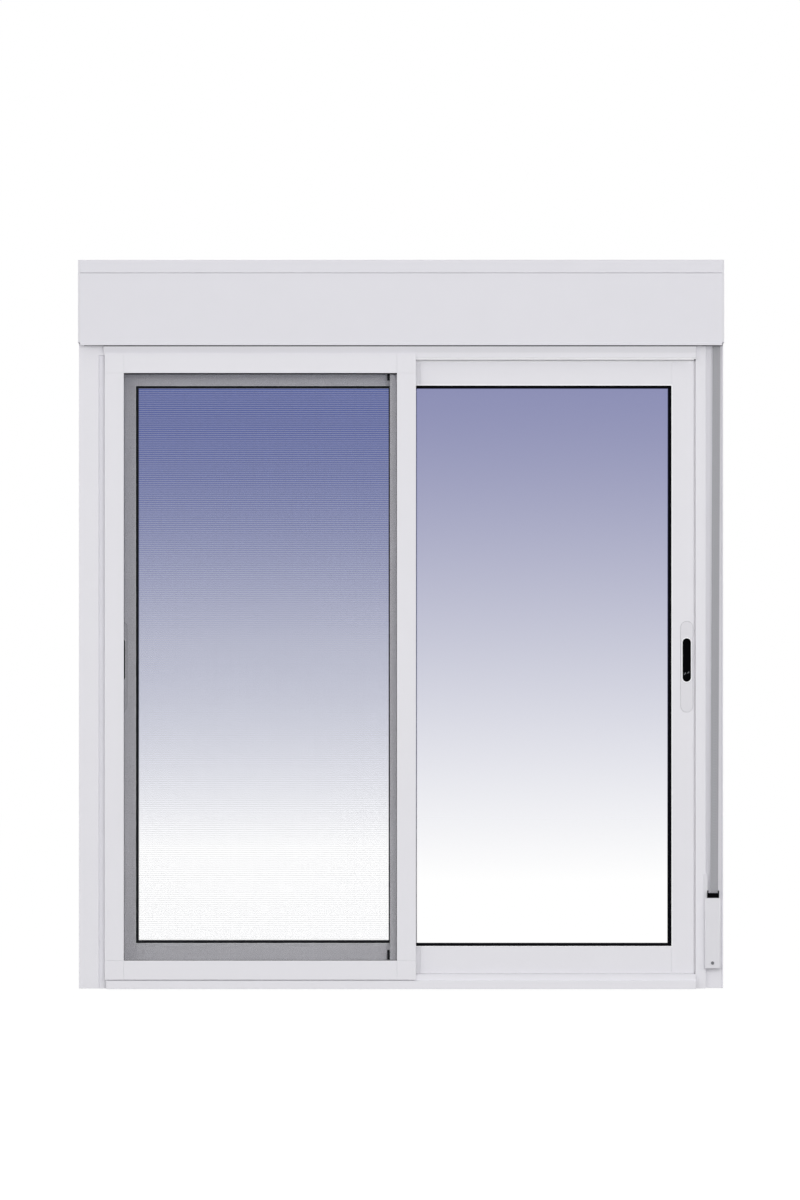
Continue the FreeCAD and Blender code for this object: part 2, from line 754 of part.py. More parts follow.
screen_corners = doc.addObject("Part::Compound", "screen_corners")
screen_corners.Label = "screen_corners"
screen_corners.Links = corners
nodes.append(screen_corners)
screen_pieces.append(screen_corners)
for piece in screen_pieces:
    place(piece, "-jamb_line - screen_lap", "screen_middle", "screen_bottom")

# Shutter box
# The top panel turns down in front as a narrow band; the cover below it unclips towards the room.
box_top = "frame_height + box_height"
between_caps = "frame_width - 2 * box_wall"
band_line = f"{box_top} - band_height"
top_section = [
    ("-box_front", band_line),
    ("-box_front", box_top),
    ("box_back", box_top),
    ("box_back", band_line),
    ("box_back - box_wall", band_line),
    ("box_back - box_wall", f"{box_top} - box_wall"),
    ("box_wall - box_front", f"{box_top} - box_wall"),
    ("box_wall - box_front", band_line),
]
top_panel = extrusion("box_top_panel", "YZ_Plane", [top_section], between_caps, both_ways=True)
round_edges(
    top_panel, "front_edge", "cap_corner", (1, 0, 0),
    lambda middle: lies_at(middle.z, box_top)
    and (lies_at(middle.y, "-box_front") or lies_at(middle.y, "box_back")),
)

cover_line = f"{band_line} - cover_joint"
cover_foot = "frame_height - cover_drop"
front_section = [
    ("-box_front", cover_line),
    ("box_wall - box_front", cover_line),
    ("box_wall - box_front", f"{band_line} + tongue_reach"),
    ("box_wall - box_front + tongue", f"{band_line} + tongue_reach"),
    ("box_wall - box_front + tongue", f"{cover_line} - tongue_reach"),
    ("box_wall - box_front", f"{cover_line} - tongue_reach"),
    ("box_wall - box_front", cover_foot),
    ("-box_front - lip_proud", cover_foot),
    ("-box_front - lip_proud", f"{cover_foot} + lip_height"),
    ("-box_front", f"{cover_foot} + lip_height"),
]
front_cover = extrusion("box_front_cover", "YZ_Plane", [front_section], between_caps, both_ways=True)
round_edges(
    front_cover, "lip", "lip_round", (1, 0, 0),
    lambda middle: lies_at(middle.y, "-box_front - lip_proud"),
)

rear_section = [
    ("box_back", "frame_height"),
    ("box_back", cover_line),
    ("box_back - box_wall", cover_line),
    ("box_back - box_wall", f"{band_line} + tongue_reach"),
    ("box_back - box_wall - tongue", f"{band_line} + tongue_reach"),
    ("box_back - box_wall - tongue", f"{cover_line} - tongue_reach"),
    ("box_back - box_wall", f"{cover_line} - tongue_reach"),
    ("box_back - box_wall", "frame_height"),
]
extrusion("box_rear_cover", "YZ_Plane", [rear_section], between_caps, both_ways=True)

# The floor lies on the head and the guides; the curtain and the strap pass through it.
floor = new_body("box_floor")
floor_plate = new_sketch(floor, "plate", "XY_Plane", "frame_height")
rectangle(floor_plate, f"-({between_caps}) / 2", "box_wall - box_front", f"({between_caps}) / 2",
          "box_back - box_wall")
pad(floor, floor_plate, "box_wall")
floor_slots = new_sketch(floor, "slots", "XY_Plane", "frame_height")
channel_end = "jamb_line + channel_depth"
rectangle(floor_slots, f"-({channel_end})", "curtain_track - curtain_slot / 2", channel_end,
          "curtain_track + curtain_slot / 2")
strap_middle = "frame_width / 2 - strap_top_inset"
rectangle(floor_slots, f"{strap_middle} - strap_width / 2 - fin", "-strap_setback - 2 * fin",
          f"{strap_middle} + strap_width / 2 + fin / 2", "-strap_setback + 2 * fin")
pocket(floor, floor_slots, "4 * box_wall")

# Each end cap closes the box and carries the axle in a boss.
for label, side in (("box_end_cap_left", "-1"), ("box_end_cap_right", "1")):
    cap = new_body(label)
    cap_plate = new_sketch(cap, "plate", "YZ_Plane", f"{side} * frame_width / 2")
    rectangle(cap_plate, "-box_front", "frame_height + cap_lift", "box_back", box_top)
    pad(cap, cap_plate, "box_wall", reverse=side == "1")
    round_edges(
        cap, "corners", "cap_corner", (1, 0, 0),
        lambda middle: lies_at(middle.z, box_top) or lies_at(middle.y, "-box_front"),
    )
    boss = new_sketch(cap, "boss", "YZ_Plane", f"{side} * (frame_width / 2 - box_wall)")
    circle(boss, "axle_setback", "axle_level", "boss_radius")
    pad(cap, boss, "boss_depth", reverse=side == "1")
    bore = new_sketch(cap, "bore", "YZ_Plane", f"{side} * (frame_width / 2 - box_wall - boss_depth)")
    circle(bore, "axle_setback", "axle_level", "journal_radius + running_gap")
    pocket(cap, bore, "2 * boss_depth")

# Shutter
# The curtain is drawn up: its coils fill the box, and only the end slat hangs in the floor's slot.
# That slat ends just under the roll. The axle is an eight-sided tube, so half of one of its flats is
# the radius times the tangent of an eighth of pi.
flat = f"axle_radius * {math.tan(math.pi / 8)}"
octagon = [
    ("axle_radius", flat),
    (flat, "axle_radius"),
    (f"-{flat}", "axle_radius"),
    ("-axle_radius", flat),
    ("-axle_radius", f"-{flat}"),
    (f"-{flat}", "-axle_radius"),
    (flat, "-axle_radius"),
    ("axle_radius", f"-{flat}"),
]
axle_outline = [(f"axle_setback + {u}", f"axle_level + {v}") for u, v in octagon]

axle = new_body("shutter_axle")
axle_tube = new_sketch(axle, "tube", "YZ_Plane")
outline(axle_tube, axle_outline)
pad(axle, axle_tube, "2 * axle_half_length", both_ways=True)
journals = new_sketch(axle, "journals", "YZ_Plane")
circle(journals, "axle_setback", "axle_level", "journal_radius")
pad(axle, journals, f"{between_caps} - 2 * running_gap", both_ways=True)

roll = new_body("shutter_roll")
roll_ring = new_sketch(roll, "ring", "YZ_Plane")
circle(roll_ring, "axle_setback", "axle_level", "roll_radius")
outline(roll_ring, axle_outline)
pad(roll, roll_ring, "2 * axle_half_length - 2 * roll_end_gap", both_ways=True)

end_slat = new_body("shutter_end_slat")
slat_section = new_sketch(end_slat, "section", "YZ_Plane")
rectangle(slat_section, "curtain_track - curtain_thickness / 2", "frame_height - end_slat_drop",
          "curtain_track + curtain_thickness / 2", "slat_top")
pad(end_slat, slat_section, f"2 * ({channel_end} - end_slat_play)", both_ways=True)
round_edges(
    end_slat, "foot", "slat_round", (1, 0, 0),
    lambda middle: lies_at(middle.z, "frame_height - end_slat_drop"),
)

stops = []
for side in ("-1", "1"):
    stop = doc.addObject("PartDesign::Body", f"shutter_stop_{len(stops) + 1}")
    stop_block = new_sketch(stop, "block", "YZ_Plane", f"{side} * (jamb_line - stop_inset)")
    rectangle(
        stop_block,
        "curtain_track + curtain_thickness / 2",
        "frame_height - end_slat_drop + fin",
        "curtain_track + curtain_thickness / 2 + stop_depth",
        "frame_height - end_slat_drop + fin + stop_height",
    )
    pad(stop, stop_block, "stop_width", both_ways=True)
    stops.append(stop)
shutter_stops = doc.addObject("Part::Compound", "shutter_stops")
shutter_stops.Label = "shutter_stops"
shutter_stops.Links = stops
nodes.append(shutter_stops)

# Each guide is a hollow bar behind the jamb with a channel for the curtain's edge.
for label, side in (("shutter_guide_left", "-1"), ("shutter_guide_right", "1")):
    inner = f"{side} * jamb_line"
    outer = f"{side} * frame_width / 2"
    deep = f"{side} * (jamb_line + channel_depth)"
    front = "curtain_track - curtain_slot / 2"
    rear = "curtain_track + curtain_slot / 2"
    back = "frame_back + guide_depth"
    section = [
        (outer, "frame_back"),
        (inner, "frame_back"),
        (inner, front),
        (deep, front),
        (deep, rear),
        (f"{inner}", rear),
        (f"{inner}", back),
        (outer, back),
    ]
    loops = [section]
    for start, end, low, high in (
        ("jamb_line + wall", "jamb_line + channel_depth", "frame_back + wall", f"{front} - wall"),
        ("jamb_line + wall", "jamb_line + channel_depth", f"{rear} + wall", f"{back} - wall"),
        ("jamb_line + channel_depth + wall", "frame_width / 2 - wall", "frame_back + wall",
         f"{back} - wall"),
    ):
        start = f"{side} * ({start})"
        end = f"{side} * ({end})"
        loops.append([(start, low), (end, low), (end, high), (start, high)])
    extrusion(label, "XY_Plane", loops, "frame_height")

# Strap and recoiler
# The strap leans a little on its way from the pulley in the box down to the recoiler on the jamb.
pulley = new_body("strap_pulley")
pulley_drum = new_sketch(pulley, "drum", "YZ_Plane", strap_middle)
circle(pulley_drum, "axle_setback", "axle_level", "drum_radius")
circle(pulley_drum, "axle_setback", "axle_level", "boss_radius + running_gap")
pad(pulley, pulley_drum, "pulley_width", both_ways=True)
for name, side in (("near_cheek", "-1"), ("far_cheek", "1")):
    cheek_place = f"{strap_middle} + {side} * (pulley_width / 2 - pulley_cheek / 2)"
    cheek = new_sketch(pulley, name, "YZ_Plane", cheek_place)
    circle(cheek, "axle_setback", "axle_level", "drum_radius + pulley_rim")
    circle(cheek, "axle_setback", "axle_level", "boss_radius + running_gap")
    pad(pulley, cheek, "pulley_cheek", both_ways=True)

strap = new_body("strap")
strap_strip = new_sketch(strap, "strip", "XZ_Plane", "strap_setback")
strap_left = f"{strap_middle} - strap_width / 2"
strap_right = f"{strap_middle} + strap_width / 2"
outline(strap_strip, [
    (f"{strap_left} - strap_lean", "strap_foot"),
    (f"{strap_right} - strap_lean", "strap_foot"),
    (strap_right, "axle_level"),
    (strap_left, "axle_level"),
])
pad(strap, strap_strip, "strap_thickness", both_ways=True)

# The recoiler's base fills the recess of the jamb and stands in front of its leg; one arm of its
# plate runs up beside the strap.
case_right = "frame_width / 2 - case_edge"
case_left = f"{case_right} - case_width"
case_top = "case_bottom + case_height"
plate_left = f"{case_left} - recoiler_margin"
plate_right = f"{case_right} + recoiler_margin"
plate_front = "frame_front + running_gap + recoiler_plate"
recoiler = new_body("recoiler_base")
recoiler_plate = new_sketch(recoiler, "plate", "XZ_Plane", plate_front)
outline(recoiler_plate, [
    (plate_left, "case_bottom - recoiler_margin"),
    (plate_right, "case_bottom - recoiler_margin"),
    (plate_right, case_top),
    (f"{plate_left} + arm_width", case_top),
    (f"{plate_left} + arm_width", f"{case_top} + arm_height"),
    (plate_left, f"{case_top} + arm_height"),
])
pad(recoiler, recoiler_plate, "recoiler_plate", reverse=True)
round_edges(
    recoiler, "arm_end", "arm_round", (0, 1, 0),
    lambda middle: lies_at(middle.z, f"{case_top} + arm_height"),
)
recoiler_block = new_sketch(recoiler, "block", "XZ_Plane", "frame_front - flange_recess")
rectangle(recoiler_block, "frame_width / 2 - flange_width + wall", "case_bottom + wall",
          "frame_width / 2 - bead_width - wall", f"{case_top} - wall")
pad(recoiler, recoiler_block, "flange_recess + running_gap")

cover = new_body("recoiler_cover")
cover_block = new_sketch(cover, "block", "XZ_Plane", plate_front)
rectangle(cover_block, case_left, "case_bottom", case_right, case_top)
pad(cover, cover_block, "case_depth")
round_edges(
    cover, "sides", "case_round", (0, 0, 1),
    lambda middle: lies_at(-middle.y, f"{plate_front} + case_depth"),
)
cover_hollow = new_sketch(cover, "hollow", "XZ_Plane", plate_front)
rectangle(cover_hollow, f"{case_left} + case_wall", "case_bottom + case_wall",
          f"{case_right} - case_wall", f"{case_top} - case_wall")
pocket(cover, cover_hollow, "2 * (case_depth - case_wall)")
strap_foot_middle = f"{strap_middle} - strap_lean"
strap_gate = (
    f"{strap_foot_middle} - strap_width / 2 - wall",
    "-strap_setback - mouth_slot / 2",
    f"{strap_foot_middle} + strap_width / 2 + wall",
    "-strap_setback + mouth_slot / 2",
)
cover_slot = new_sketch(cover, "strap_slot", "XY_Plane", case_top)
rectangle(cover_slot, *strap_gate)
pocket(cover, cover_slot, "4 * case_wall")

mouth = new_body("strap_mouth")
mouth_block = new_sketch(mouth, "block", "XZ_Plane", plate_front)
mouth_middle = f"({case_left} + {case_right}) / 2 + mouth_shift"
rectangle(mouth_block, f"{mouth_middle} - mouth_width / 2", case_top,
          f"{mouth_middle} + mouth_width / 2", f"{case_top} + mouth_height")
pad(mouth, mouth_block, "case_depth - case_wall")
mouth_slot = new_sketch(mouth, "slot", "XY_Plane", case_top)
rectangle(mouth_slot, *strap_gate)
pocket(mouth, mouth_slot, "4 * mouth_height")

screw = new_body("recoiler_screw")
screw_place = (f"({case_left} + {case_right}) / 2", "case_bottom + screw_rise")
screw_disc = new_sketch(screw, "head", "XZ_Plane", f"{plate_front} + case_depth")
circle(screw_disc, *screw_place, "screw_radius")
pad(screw, screw_disc, "screw_head")
screw_slot = new_sketch(screw, "slot", "XZ_Plane", f"{plate_front} + case_depth + screw_head")
rectangle(screw_slot, f"{screw_place[0]} - 2 * screw_radius", f"{screw_place[1]} - screw_slot / 2",
          f"{screw_place[0]} + 2 * screw_radius", f"{screw_place[1]} + screw_slot / 2")
pocket(screw, screw_slot, "2 * screw_slot")

doc.recompute()

problems = []
for item in doc.Objects:
    if "Invalid" in item.State or "Error" in item.State:
        problems.append(f"{item.Label}: {item.State}")
for item in nodes:
    if item.Shape.isNull() or not item.Shape.isValid():
        problems.append(f"{item.Label}: no valid shape")
if problems:
    raise SystemExit("\n".join(problems))

for item in nodes:
    item.Shape.exportStep(f"parts/{item.Label}.step")
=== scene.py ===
import math

import bpy
import numpy as np
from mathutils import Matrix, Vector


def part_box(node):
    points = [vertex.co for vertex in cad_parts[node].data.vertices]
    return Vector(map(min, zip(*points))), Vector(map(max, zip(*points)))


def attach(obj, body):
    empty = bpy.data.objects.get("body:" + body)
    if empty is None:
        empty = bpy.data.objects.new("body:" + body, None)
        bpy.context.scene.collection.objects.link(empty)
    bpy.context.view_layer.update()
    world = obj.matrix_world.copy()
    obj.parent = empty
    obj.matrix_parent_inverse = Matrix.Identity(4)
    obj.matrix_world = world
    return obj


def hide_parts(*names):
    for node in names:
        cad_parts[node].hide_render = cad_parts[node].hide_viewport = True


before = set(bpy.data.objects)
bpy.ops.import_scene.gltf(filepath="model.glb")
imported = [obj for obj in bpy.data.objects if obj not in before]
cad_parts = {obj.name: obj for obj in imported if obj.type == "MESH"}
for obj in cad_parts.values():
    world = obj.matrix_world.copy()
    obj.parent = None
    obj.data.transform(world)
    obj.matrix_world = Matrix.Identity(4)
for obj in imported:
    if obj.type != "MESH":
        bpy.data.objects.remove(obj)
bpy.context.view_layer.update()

bl_info = {
    "name": "Horizontal sliding window",
    "version": (1, 0, 0),
    "blender": (4, 5, 0),
    "location": "View3D > Sidebar > Window",
    "description": "Finishes, insect mesh, webbing and trim of a sliding window with a shutter box",
    "category": "Object",
}

MM = 0.001
ROOT = "root"

# Lengths of the solids that their boxes don't give, as the part's source has them
STRAP_WIDTH = 14.3 * MM
HEAD_HEIGHT = 28.3 * MM
FIN_REACH = 13.0 * MM        # of the head's fins, below its underside
REBATE = 12.0 * MM           # from the gasket's outside to the sash's sight line
FLANGE_RECESS = 11.0 * MM    # of a jamb's flange, behind its leg
CUP_WALL = 1.0 * MM
LATCH_FACE = 4.8 * MM        # from the back of a pull's cup to the latch's face

# How far trim sinks into what carries it or stands clear of it, and the rounding of edges
SINK = 0.2 * MM
CLEAR = 0.1 * MM
FINE_EDGE = 0.2 * MM
WELD_REACH = 0.01 * MM
SHARP_ANGLE = math.radians(40)

# The joint strip, and the black line of painted shade between it and the box
STRIP_OVERRUN = 5.0 * MM     # past the head, over the left jamb
BEND_STAND = 0.5 * MM        # of the strip's bend, before the head's face
SHADE_LINE_SET_BACK = 1.0 * MM     # behind the strip's front
SHADE_LINE_DEPTH = 2.0 * MM
SHADE_LINE_INSETS = (11.0 * MM, 3.0 * MM)    # from the left and right jamb's outside
SHADE_LINE_RISES = (1.2 * MM, 0.7 * MM)      # of its foot, over the left and right jamb

# The beads of painted highlight on the head's lip and along the sash's top, and the cover on the left jamb
LIP_SINK = 0.3 * MM
TOP_BEAD_INSET = 1.0 * MM
COVER_GAP = 0.3 * MM         # to the jamb's two ends
COVER_INSET = 0.6 * MM       # from the jamb's outside
COVER_LAP = 1.0 * MM         # of its upper part over its flat
COVER_STEP = 0.5 * MM        # from the strip's foot up to that part

# The pane's rubber, and the black stubs beside the screened sash's meeting stile
SEAL_TUCK = 6.0 * MM         # of the rubber, from the sight line into the rebate
STUB_FROM_TOP_RAIL = 9.5 * MM
STUB_FROM_FOOT_RAIL = 12.8 * MM
STUB_STAND = 0.8 * MM
STUB_SINK = 0.4 * MM
STUB_EDGE = 0.3 * MM

# The black cord of painted shade round the mesh, the ears of the strap's mouth, the cover's screw and the
# pull's latch
SHADE_CORD_STAND = 0.4 * MM      # of the cord, before and behind the mesh
EAR_WIDTH = 2.2 * MM
EAR_DEPTH = 3.0 * MM
EAR_SINK = 1.0 * MM
EAR_EDGE = 0.4 * MM
SCREW_EDGE = 0.3 * MM
TAB_STAND = 1.1 * MM         # of a latch's tab, before the latch's face

# Each pane's bead of painted highlight, drawn in from the sight line at its left, right, foot and top, in
# millimetres
BEADS_DRAWN_IN = {"left": (0.0, 0.0, 0.0, 0.6), "right": (0.7, 0.6, 0.0, 1.0)}

# The tabs on a latch: place across the cup, height above its foot, and own height, in millimetres
LATCH_TABS = ((-5.2, 13.3, 2.6), (-2.8, 15.2, 3.0), (1.4, 16.2, 1.8), (3.4, 17.2, 2.6))

# Tones and strengths of the finishes
WHITE = (1.0, 1.0, 1.0)
GLASS_TONE = (0.01, 0.01, 0.012)
CLOUD_MM = 60.0              # width of the faint clouds in the white coats
# Painted light in the screened pane: the glare at its foot and the pale lines of lit threads are glowed in
# as emission.
PAINTED_GLARE = 0.645                # what the ground's glare adds at the screened pane's foot
PAINTED_LINE_STRENGTH = 0.2          # the mirrored lines' mean, and how far they swing about it

# The floor: its own tone, what it glows to the camera alone, and how far it reaches, in metres
FLOOR_TONE = (0.35, 0.35, 0.35)
FLOOR_GLOW = 0.79
FLOOR_REACH = 30.0

# The world's strength as the object's light, and as the camera, gloss and glass see it
WORLD_LIGHT = 0.6
WORLD_SEEN = 1.0

# The camera stands a little left of the window's middle; its sensor is measured in millimetres
CAMERA_ASIDE = -2.05 * MM
SENSOR_HEIGHT = 24.0

# Square lamps: place in metres, watts, and whether gloss and panes mirror them
LAMP_SIZE = 2.4
LAMP_TARGET = (0.0, 0.0, 0.68)
LAMPS = (
    ("key_light", (-2.6, -5.0, 1.7), 34.0, True),
    ("fill_light", (2.6, -5.0, 1.4), 26.0, True),
    ("front_light", (0.5, -6.0, 1.2), 114.0, False),
    ("left_light", (-6.0, 0.6, 1.6), 90.0, True),
    ("right_light", (6.0, 0.6, 1.6), 90.0, True),
    ("back_light", (-1.0, 5.0, 4.0), 130.0, True),
)


# Values that a user would change

def linear(hex_colour):
    """Turns an sRGB hex colour into linear light, channel by channel."""
    channels = [int(hex_colour[i:i + 2], 16) / 255 for i in (1, 3, 5)]
    return tuple(c / 12.92 if c <= 0.04045 else ((c + 0.055) / 1.055) ** 2.4 for c in channels)


def length(name, description, millimetres):
    """A length property, kept in metres."""
    return bpy.props.FloatProperty(
        name=name, description=description, default=millimetres * MM, min=0.0,
        subtype="DISTANCE", unit="LENGTH", precision=5,
    )


def share(name, description, value):
    """A plain factor between nought and one."""
    return bpy.props.FloatProperty(
        name=name, description=description, default=value, min=0.0, max=1.0, subtype="FACTOR",
    )


def colour(name, description, hex_colour):
    """A colour property, given as sRGB hex and kept in linear light."""
    return bpy.props.FloatVectorProperty(
        name=name, description=description, default=linear(hex_colour), size=3,
        min=0.0, max=1.0, subtype="COLOR",
    )


class WindowSizes(bpy.types.PropertyGroup):
    """Sizes of the finishes and the fine pieces."""

    edge: length("Bar edge", "Rounding of the lacquered bars' edges", 0.5)
    trim_edge: length("Trim edge", "Rounding of the moulded trim's edges", 0.6)
    mesh_pitch: length("Mesh pitch", "Distance between the mesh's threads", 1.295)
    thread: length("Thread", "Thickness of a thread", 0.19)
    # The lines in the screened pane are painted reflections of lit threads.
    line_pitch: length("Line pitch", "Distance between the lines mirrored in the screened pane", 3.906)
    mesh_trim: length("Mesh trim", "How far the threads stop short of the mesh's edge", 1.0)
    rib_pitch: length("Webbing rib pitch", "Distance between the crossing ribs of the webbing", 5.2)
    rib_height: length("Webbing rib height", "Height of the ribs of the webbing", 0.3)
    # The pull's rim carries a painted highlight round the slot.
    rim_width: length("Pull rim width", "Width of the bead round the pull's slot", 1.8)
    rim_height: length("Pull rim height", "How far that bead stands out", 0.7)
    # Painted shade: the black line round the pull's plate stands for the shadow at its edge.
    plate_shade_line: length("Plate joint", "Width of the dark line round the pull's plate", 0.3)
    side_gap: length("Side gap", "Gap between the room-side sash and its jamb", 3.0)
    foot_gap: length("Foot gap", "Gap between the room-side sash and the sill", 1.2)
    pile_back: length("Pile set-back", "How far the brush pile stands behind the sash's face", 3.0)
    foot_pile_back: length("Foot pile set-back", "The same for the pile under the sash", 0.8)
    pile_depth: length("Pile depth", "Depth of the brush pile", 5.0)
    pile_pitch: length("Pile pitch", "Width of one tuft of the brush pile", 0.8)
    # The lip bead is a painted highlight along the head's lower edge.
    lip_bead: length("Lip bead", "Height of the bright bead along the head's lower edge", 1.5)
    lip_gap: length("Lip gap", "From the room-side sash up to the pile under the head", 0.3)
    lip_rise: length("Lip rise", "How far that pile reaches above the head's underside", 2.2)
    strip_foot: length("Joint strip foot", "From the frame's top down to the joint strip's foot", 22.5)
    strip_bend: length("Joint strip bend", "From the frame's top down to where the strip turns", 17.0)
    strip_top: length("Joint strip top", "From the frame's top down to the joint strip's top", 5.7)
    strip_front: length("Joint strip front", "How far the joint strip's top stands before the head", 6.2)
    cover_width: length("Jamb cover width", "Width of the cover on the left jamb's flange", 37.6)
    cover_stand: length("Jamb cover stand", "How far that cover stands before the jamb's leg", 4.0)
    # These beads carry a painted highlight round the panes and along the sash's top.
    bead_width: length("Glazing bead width", "Width of the bright bead round each pane", 1.7)
    top_bead: length("Top bead", "Height and depth of the bead along the right sash's top", 2.2)
    bead_rise: length("Glazing bead rise", "How far that bead stands out", 0.5)
    # Painted shade: the black cord round the mesh's opening stands for the shade there, widest under the
    # top rail.
    shade_cord: length("Mesh spline", "Thickness of the cord that holds the mesh, where it shows", 0.5)
    top_shade_cord: length("Top spline", "The same under the top rail", 2.2)
    sight_left: length("Seal sight left", "Rubber that shows at the room-side pane's left", 1.6)
    sight_right: length("Seal sight right", "Rubber that shows at its right", 7.0)
    sight_foot: length("Seal sight foot", "Rubber that shows at its foot", 4.6)
    sight_top: length("Seal sight top", "Rubber that shows at its top", 6.4)
    seal_width: length("Seal stub width", "Width of the black seal stubs", 5.6)
    seal_height: length("Seal stub height", "Height of the black seal stubs", 18.0)
    seal_inset: length("Seal stub inset", "From the stubs to the meeting stile", 2.0)
    latch_tab: length("Latch tab", "Width of the bright tabs on the pull's latch", 1.4)
    mouth_ear: length("Mouth ear", "Height of the ears beside the strap at its mouth", 5.0)


class WindowColours(bpy.types.PropertyGroup):
    """Colours of the finishes, and where the panes turn clear."""

    lacquer: colour("Lacquer", "White lacquer of the aluminium bars", "#E6E5EA")
    box: colour("Box", "White foil of the shutter box", "#E2E1E7")
    # Painted highlight: a white lighter than the lacquer, for beads and rims whose edges stand for lit
    # ones.
    bright: colour("Bright white", "Bright white of the beads and rims", "#FAFAFC")
    moulding: colour("Mouldings", "White moulded plastic", "#DEDDE2")
    # The sky blues are painted reflection: the panes emit them as glow, standing for a sky mirrored in the
    # glass.
    sky: colour("Sky", "Blue of the sky in the room-side pane", "#797DAA")
    deep_sky: colour("Deep sky", "Blue of the sky in the screened pane", "#4B5DAC")
    # Painted reflection: the pale lines that lit threads would leave in the screened pane, glowed in as
    # emission.
    mirrored: colour("Mirrored thread", "Pale lines that the lit threads leave in the pane", "#D1D2D9")
    rubber: colour("Rubber", "Black rubber of the glazing seals", "#030306")
    thread: colour("Mesh thread", "Dark grey thread of the mesh", "#34363A")
    webbing: colour("Webbing", "Grey webbing of the strap", "#A6A6AB")
    black: colour("Black plastic", "Glossy black of the pull cups", "#020203")
    pile: colour("Brush pile", "Pale pile of the brush seals", "#F2F1F4")
    steel: colour("Steel", "Zinc-plated steel", "#85868A")
    # These shares and heights shape the painted sky reflection down each pane.
    inner_top: share("Inner pane top", "How strongly the sky fills the top of the room-side pane", 0.93)
    outer_top: share("Outer pane top", "How strongly the sky fills the top of the screened pane", 1.0)
    inner_clear: length("Inner pane clear", "Height below which the room-side pane is clear", 200.0)
    outer_clear: length("Outer pane clear", "Height below which the screened pane is clear", 260.0)


# Nodes of materials

def start_material(name):
    """Starts a node material and gives its tree and its main shader."""
    material = bpy.data.materials.new(name)
    material.use_nodes = True
    tree = material.node_tree
    return material, tree, tree.nodes["Principled BSDF"]


def add_node(tree, kind, settings=(), values=(), links=()):
    """Adds a node: settings are its properties, values its constants, links its inputs."""
    node = tree.nodes.new(kind)
    for key, value in dict(settings).items():
        setattr(node, key, value)
    for key, value in dict(values).items():
        node.inputs[key].default_value = value
    for key, socket in dict(links).items():
        tree.links.new(socket, node.inputs[key])
    return node


def object_place(tree):
    """The place on the object in metres, which is the same in every piece."""
    return add_node(tree, "ShaderNodeTexCoord").outputs["Object"]


def tinted(tree, low, high, factor):
    """A colour that goes from one tone to another with a factor."""
    node = add_node(tree, "ShaderNodeMix", {"data_type": "RGBA"},
                    {"A": (*low, 1.0), "B": (*high, 1.0)}, {"Factor": factor})
    return node.outputs["Result"]


def noise(tree, place, scale_mm, detail=2.0):
    """Noise whose grain has the given size in millimetres."""
    node = add_node(tree, "ShaderNodeTexNoise", (), {"Scale": 1.0 / (scale_mm * MM), "Detail": detail},
                    {"Vector": place})
    return node.outputs["Fac"]


def bump(tree, shader, height, depth_mm):
    """Raises a height field by a real depth."""
    node = add_node(tree, "ShaderNodeBump", (), {"Strength": 1.0, "Distance": depth_mm * MM},
                    {"Height": height})
    tree.links.new(node.outputs["Normal"], shader.inputs["Normal"])


def shade(base, factor):
    """A tone of a colour, lighter or darker by a factor."""
    return tuple(min(1.0, c * factor) for c in base)


def set_sockets(shader, values):
    """Sets plain values on a shader's own sockets."""
    for socket, value in values.items():
        shader.inputs[socket].default_value = value


def start_finish(name, low, high, grain_mm, values):
    """Starts a finish whose tone wanders between two colours, with plain values on its sockets."""
    material, tree, shader = start_material(name)
    place = object_place(tree)
    tree.links.new(tinted(tree, low, high, noise(tree, place, grain_mm)), shader.inputs["Base Color"])
    set_sockets(shader, values)
    return material, tree, shader, place


def smooth_white(name, base, roughness, grain_mm, depth_mm):
    """A smooth white coat with a faint orange-peel skin and hardly any change of tone."""
    material, tree, shader, place = start_finish(
        name, shade(base, 0.985), shade(base, 1.01), CLOUD_MM,
        {"Roughness": roughness, "Specular IOR Level": 0.4})
    bump(tree, shader, noise(tree, place, grain_mm, detail=1.0), depth_mm)
    return material


def lacquered_aluminium(colours):
    """White powder coat: satin, with the shallow orange peel of baked paint."""
    return smooth_white(
        "lacquered_aluminium", colours.lacquer, roughness=0.42, grain_mm=1.2, depth_mm=0.006)


def box_foil(colours):
    """Flat white foil on the box panels, a touch greyer and duller than the lacquer."""
    return smooth_white(
        "box_foil", colours.box, roughness=0.5, grain_mm=0.8, depth_mm=0.004)


def moulded_abs(colours):
    """White injection-moulded plastic, a little glossier than the lacquer."""
    return smooth_white(
        "white_abs", colours.moulding, roughness=0.36, grain_mm=0.6, depth_mm=0.003)


def corner_abs(colours):
    """Moulded corner pieces of the screen, toned to match its lacquered bars."""
    return smooth_white(
        "corner_abs", colours.lacquer, roughness=0.38, grain_mm=0.6, depth_mm=0.003)


def painted_highlight_bead(colours):
    """Glossy white, lighter than the lacquer, of the glazing beads and the rims of the pulls: a painted
    highlight along those edges.
    """
    return smooth_white(
        "painted_highlight_bead", colours.bright, roughness=0.28, grain_mm=0.8, depth_mm=0.002)


def epdm_rubber(colours):
    """Black glazing rubber: matt, with a dusty grain that only shows close up."""
    material, tree, shader, place = start_finish(
        "epdm_rubber", colours.rubber, shade(colours.rubber, 2.2), 2.5,
        {"Roughness": 0.75, "Specular IOR Level": 0.06})
    bump(tree, shader, noise(tree, place, 0.3), depth_mm=0.01)
    return material


def brush_pile(colours):
    """Pale woven pile of the brush seals: dull and slightly uneven."""
    return start_finish(
        "brush_pile", shade(colours.pile, 0.9), colours.pile, 1.5,
        {"Roughness": 0.9, "Specular IOR Level": 0.1})[0]


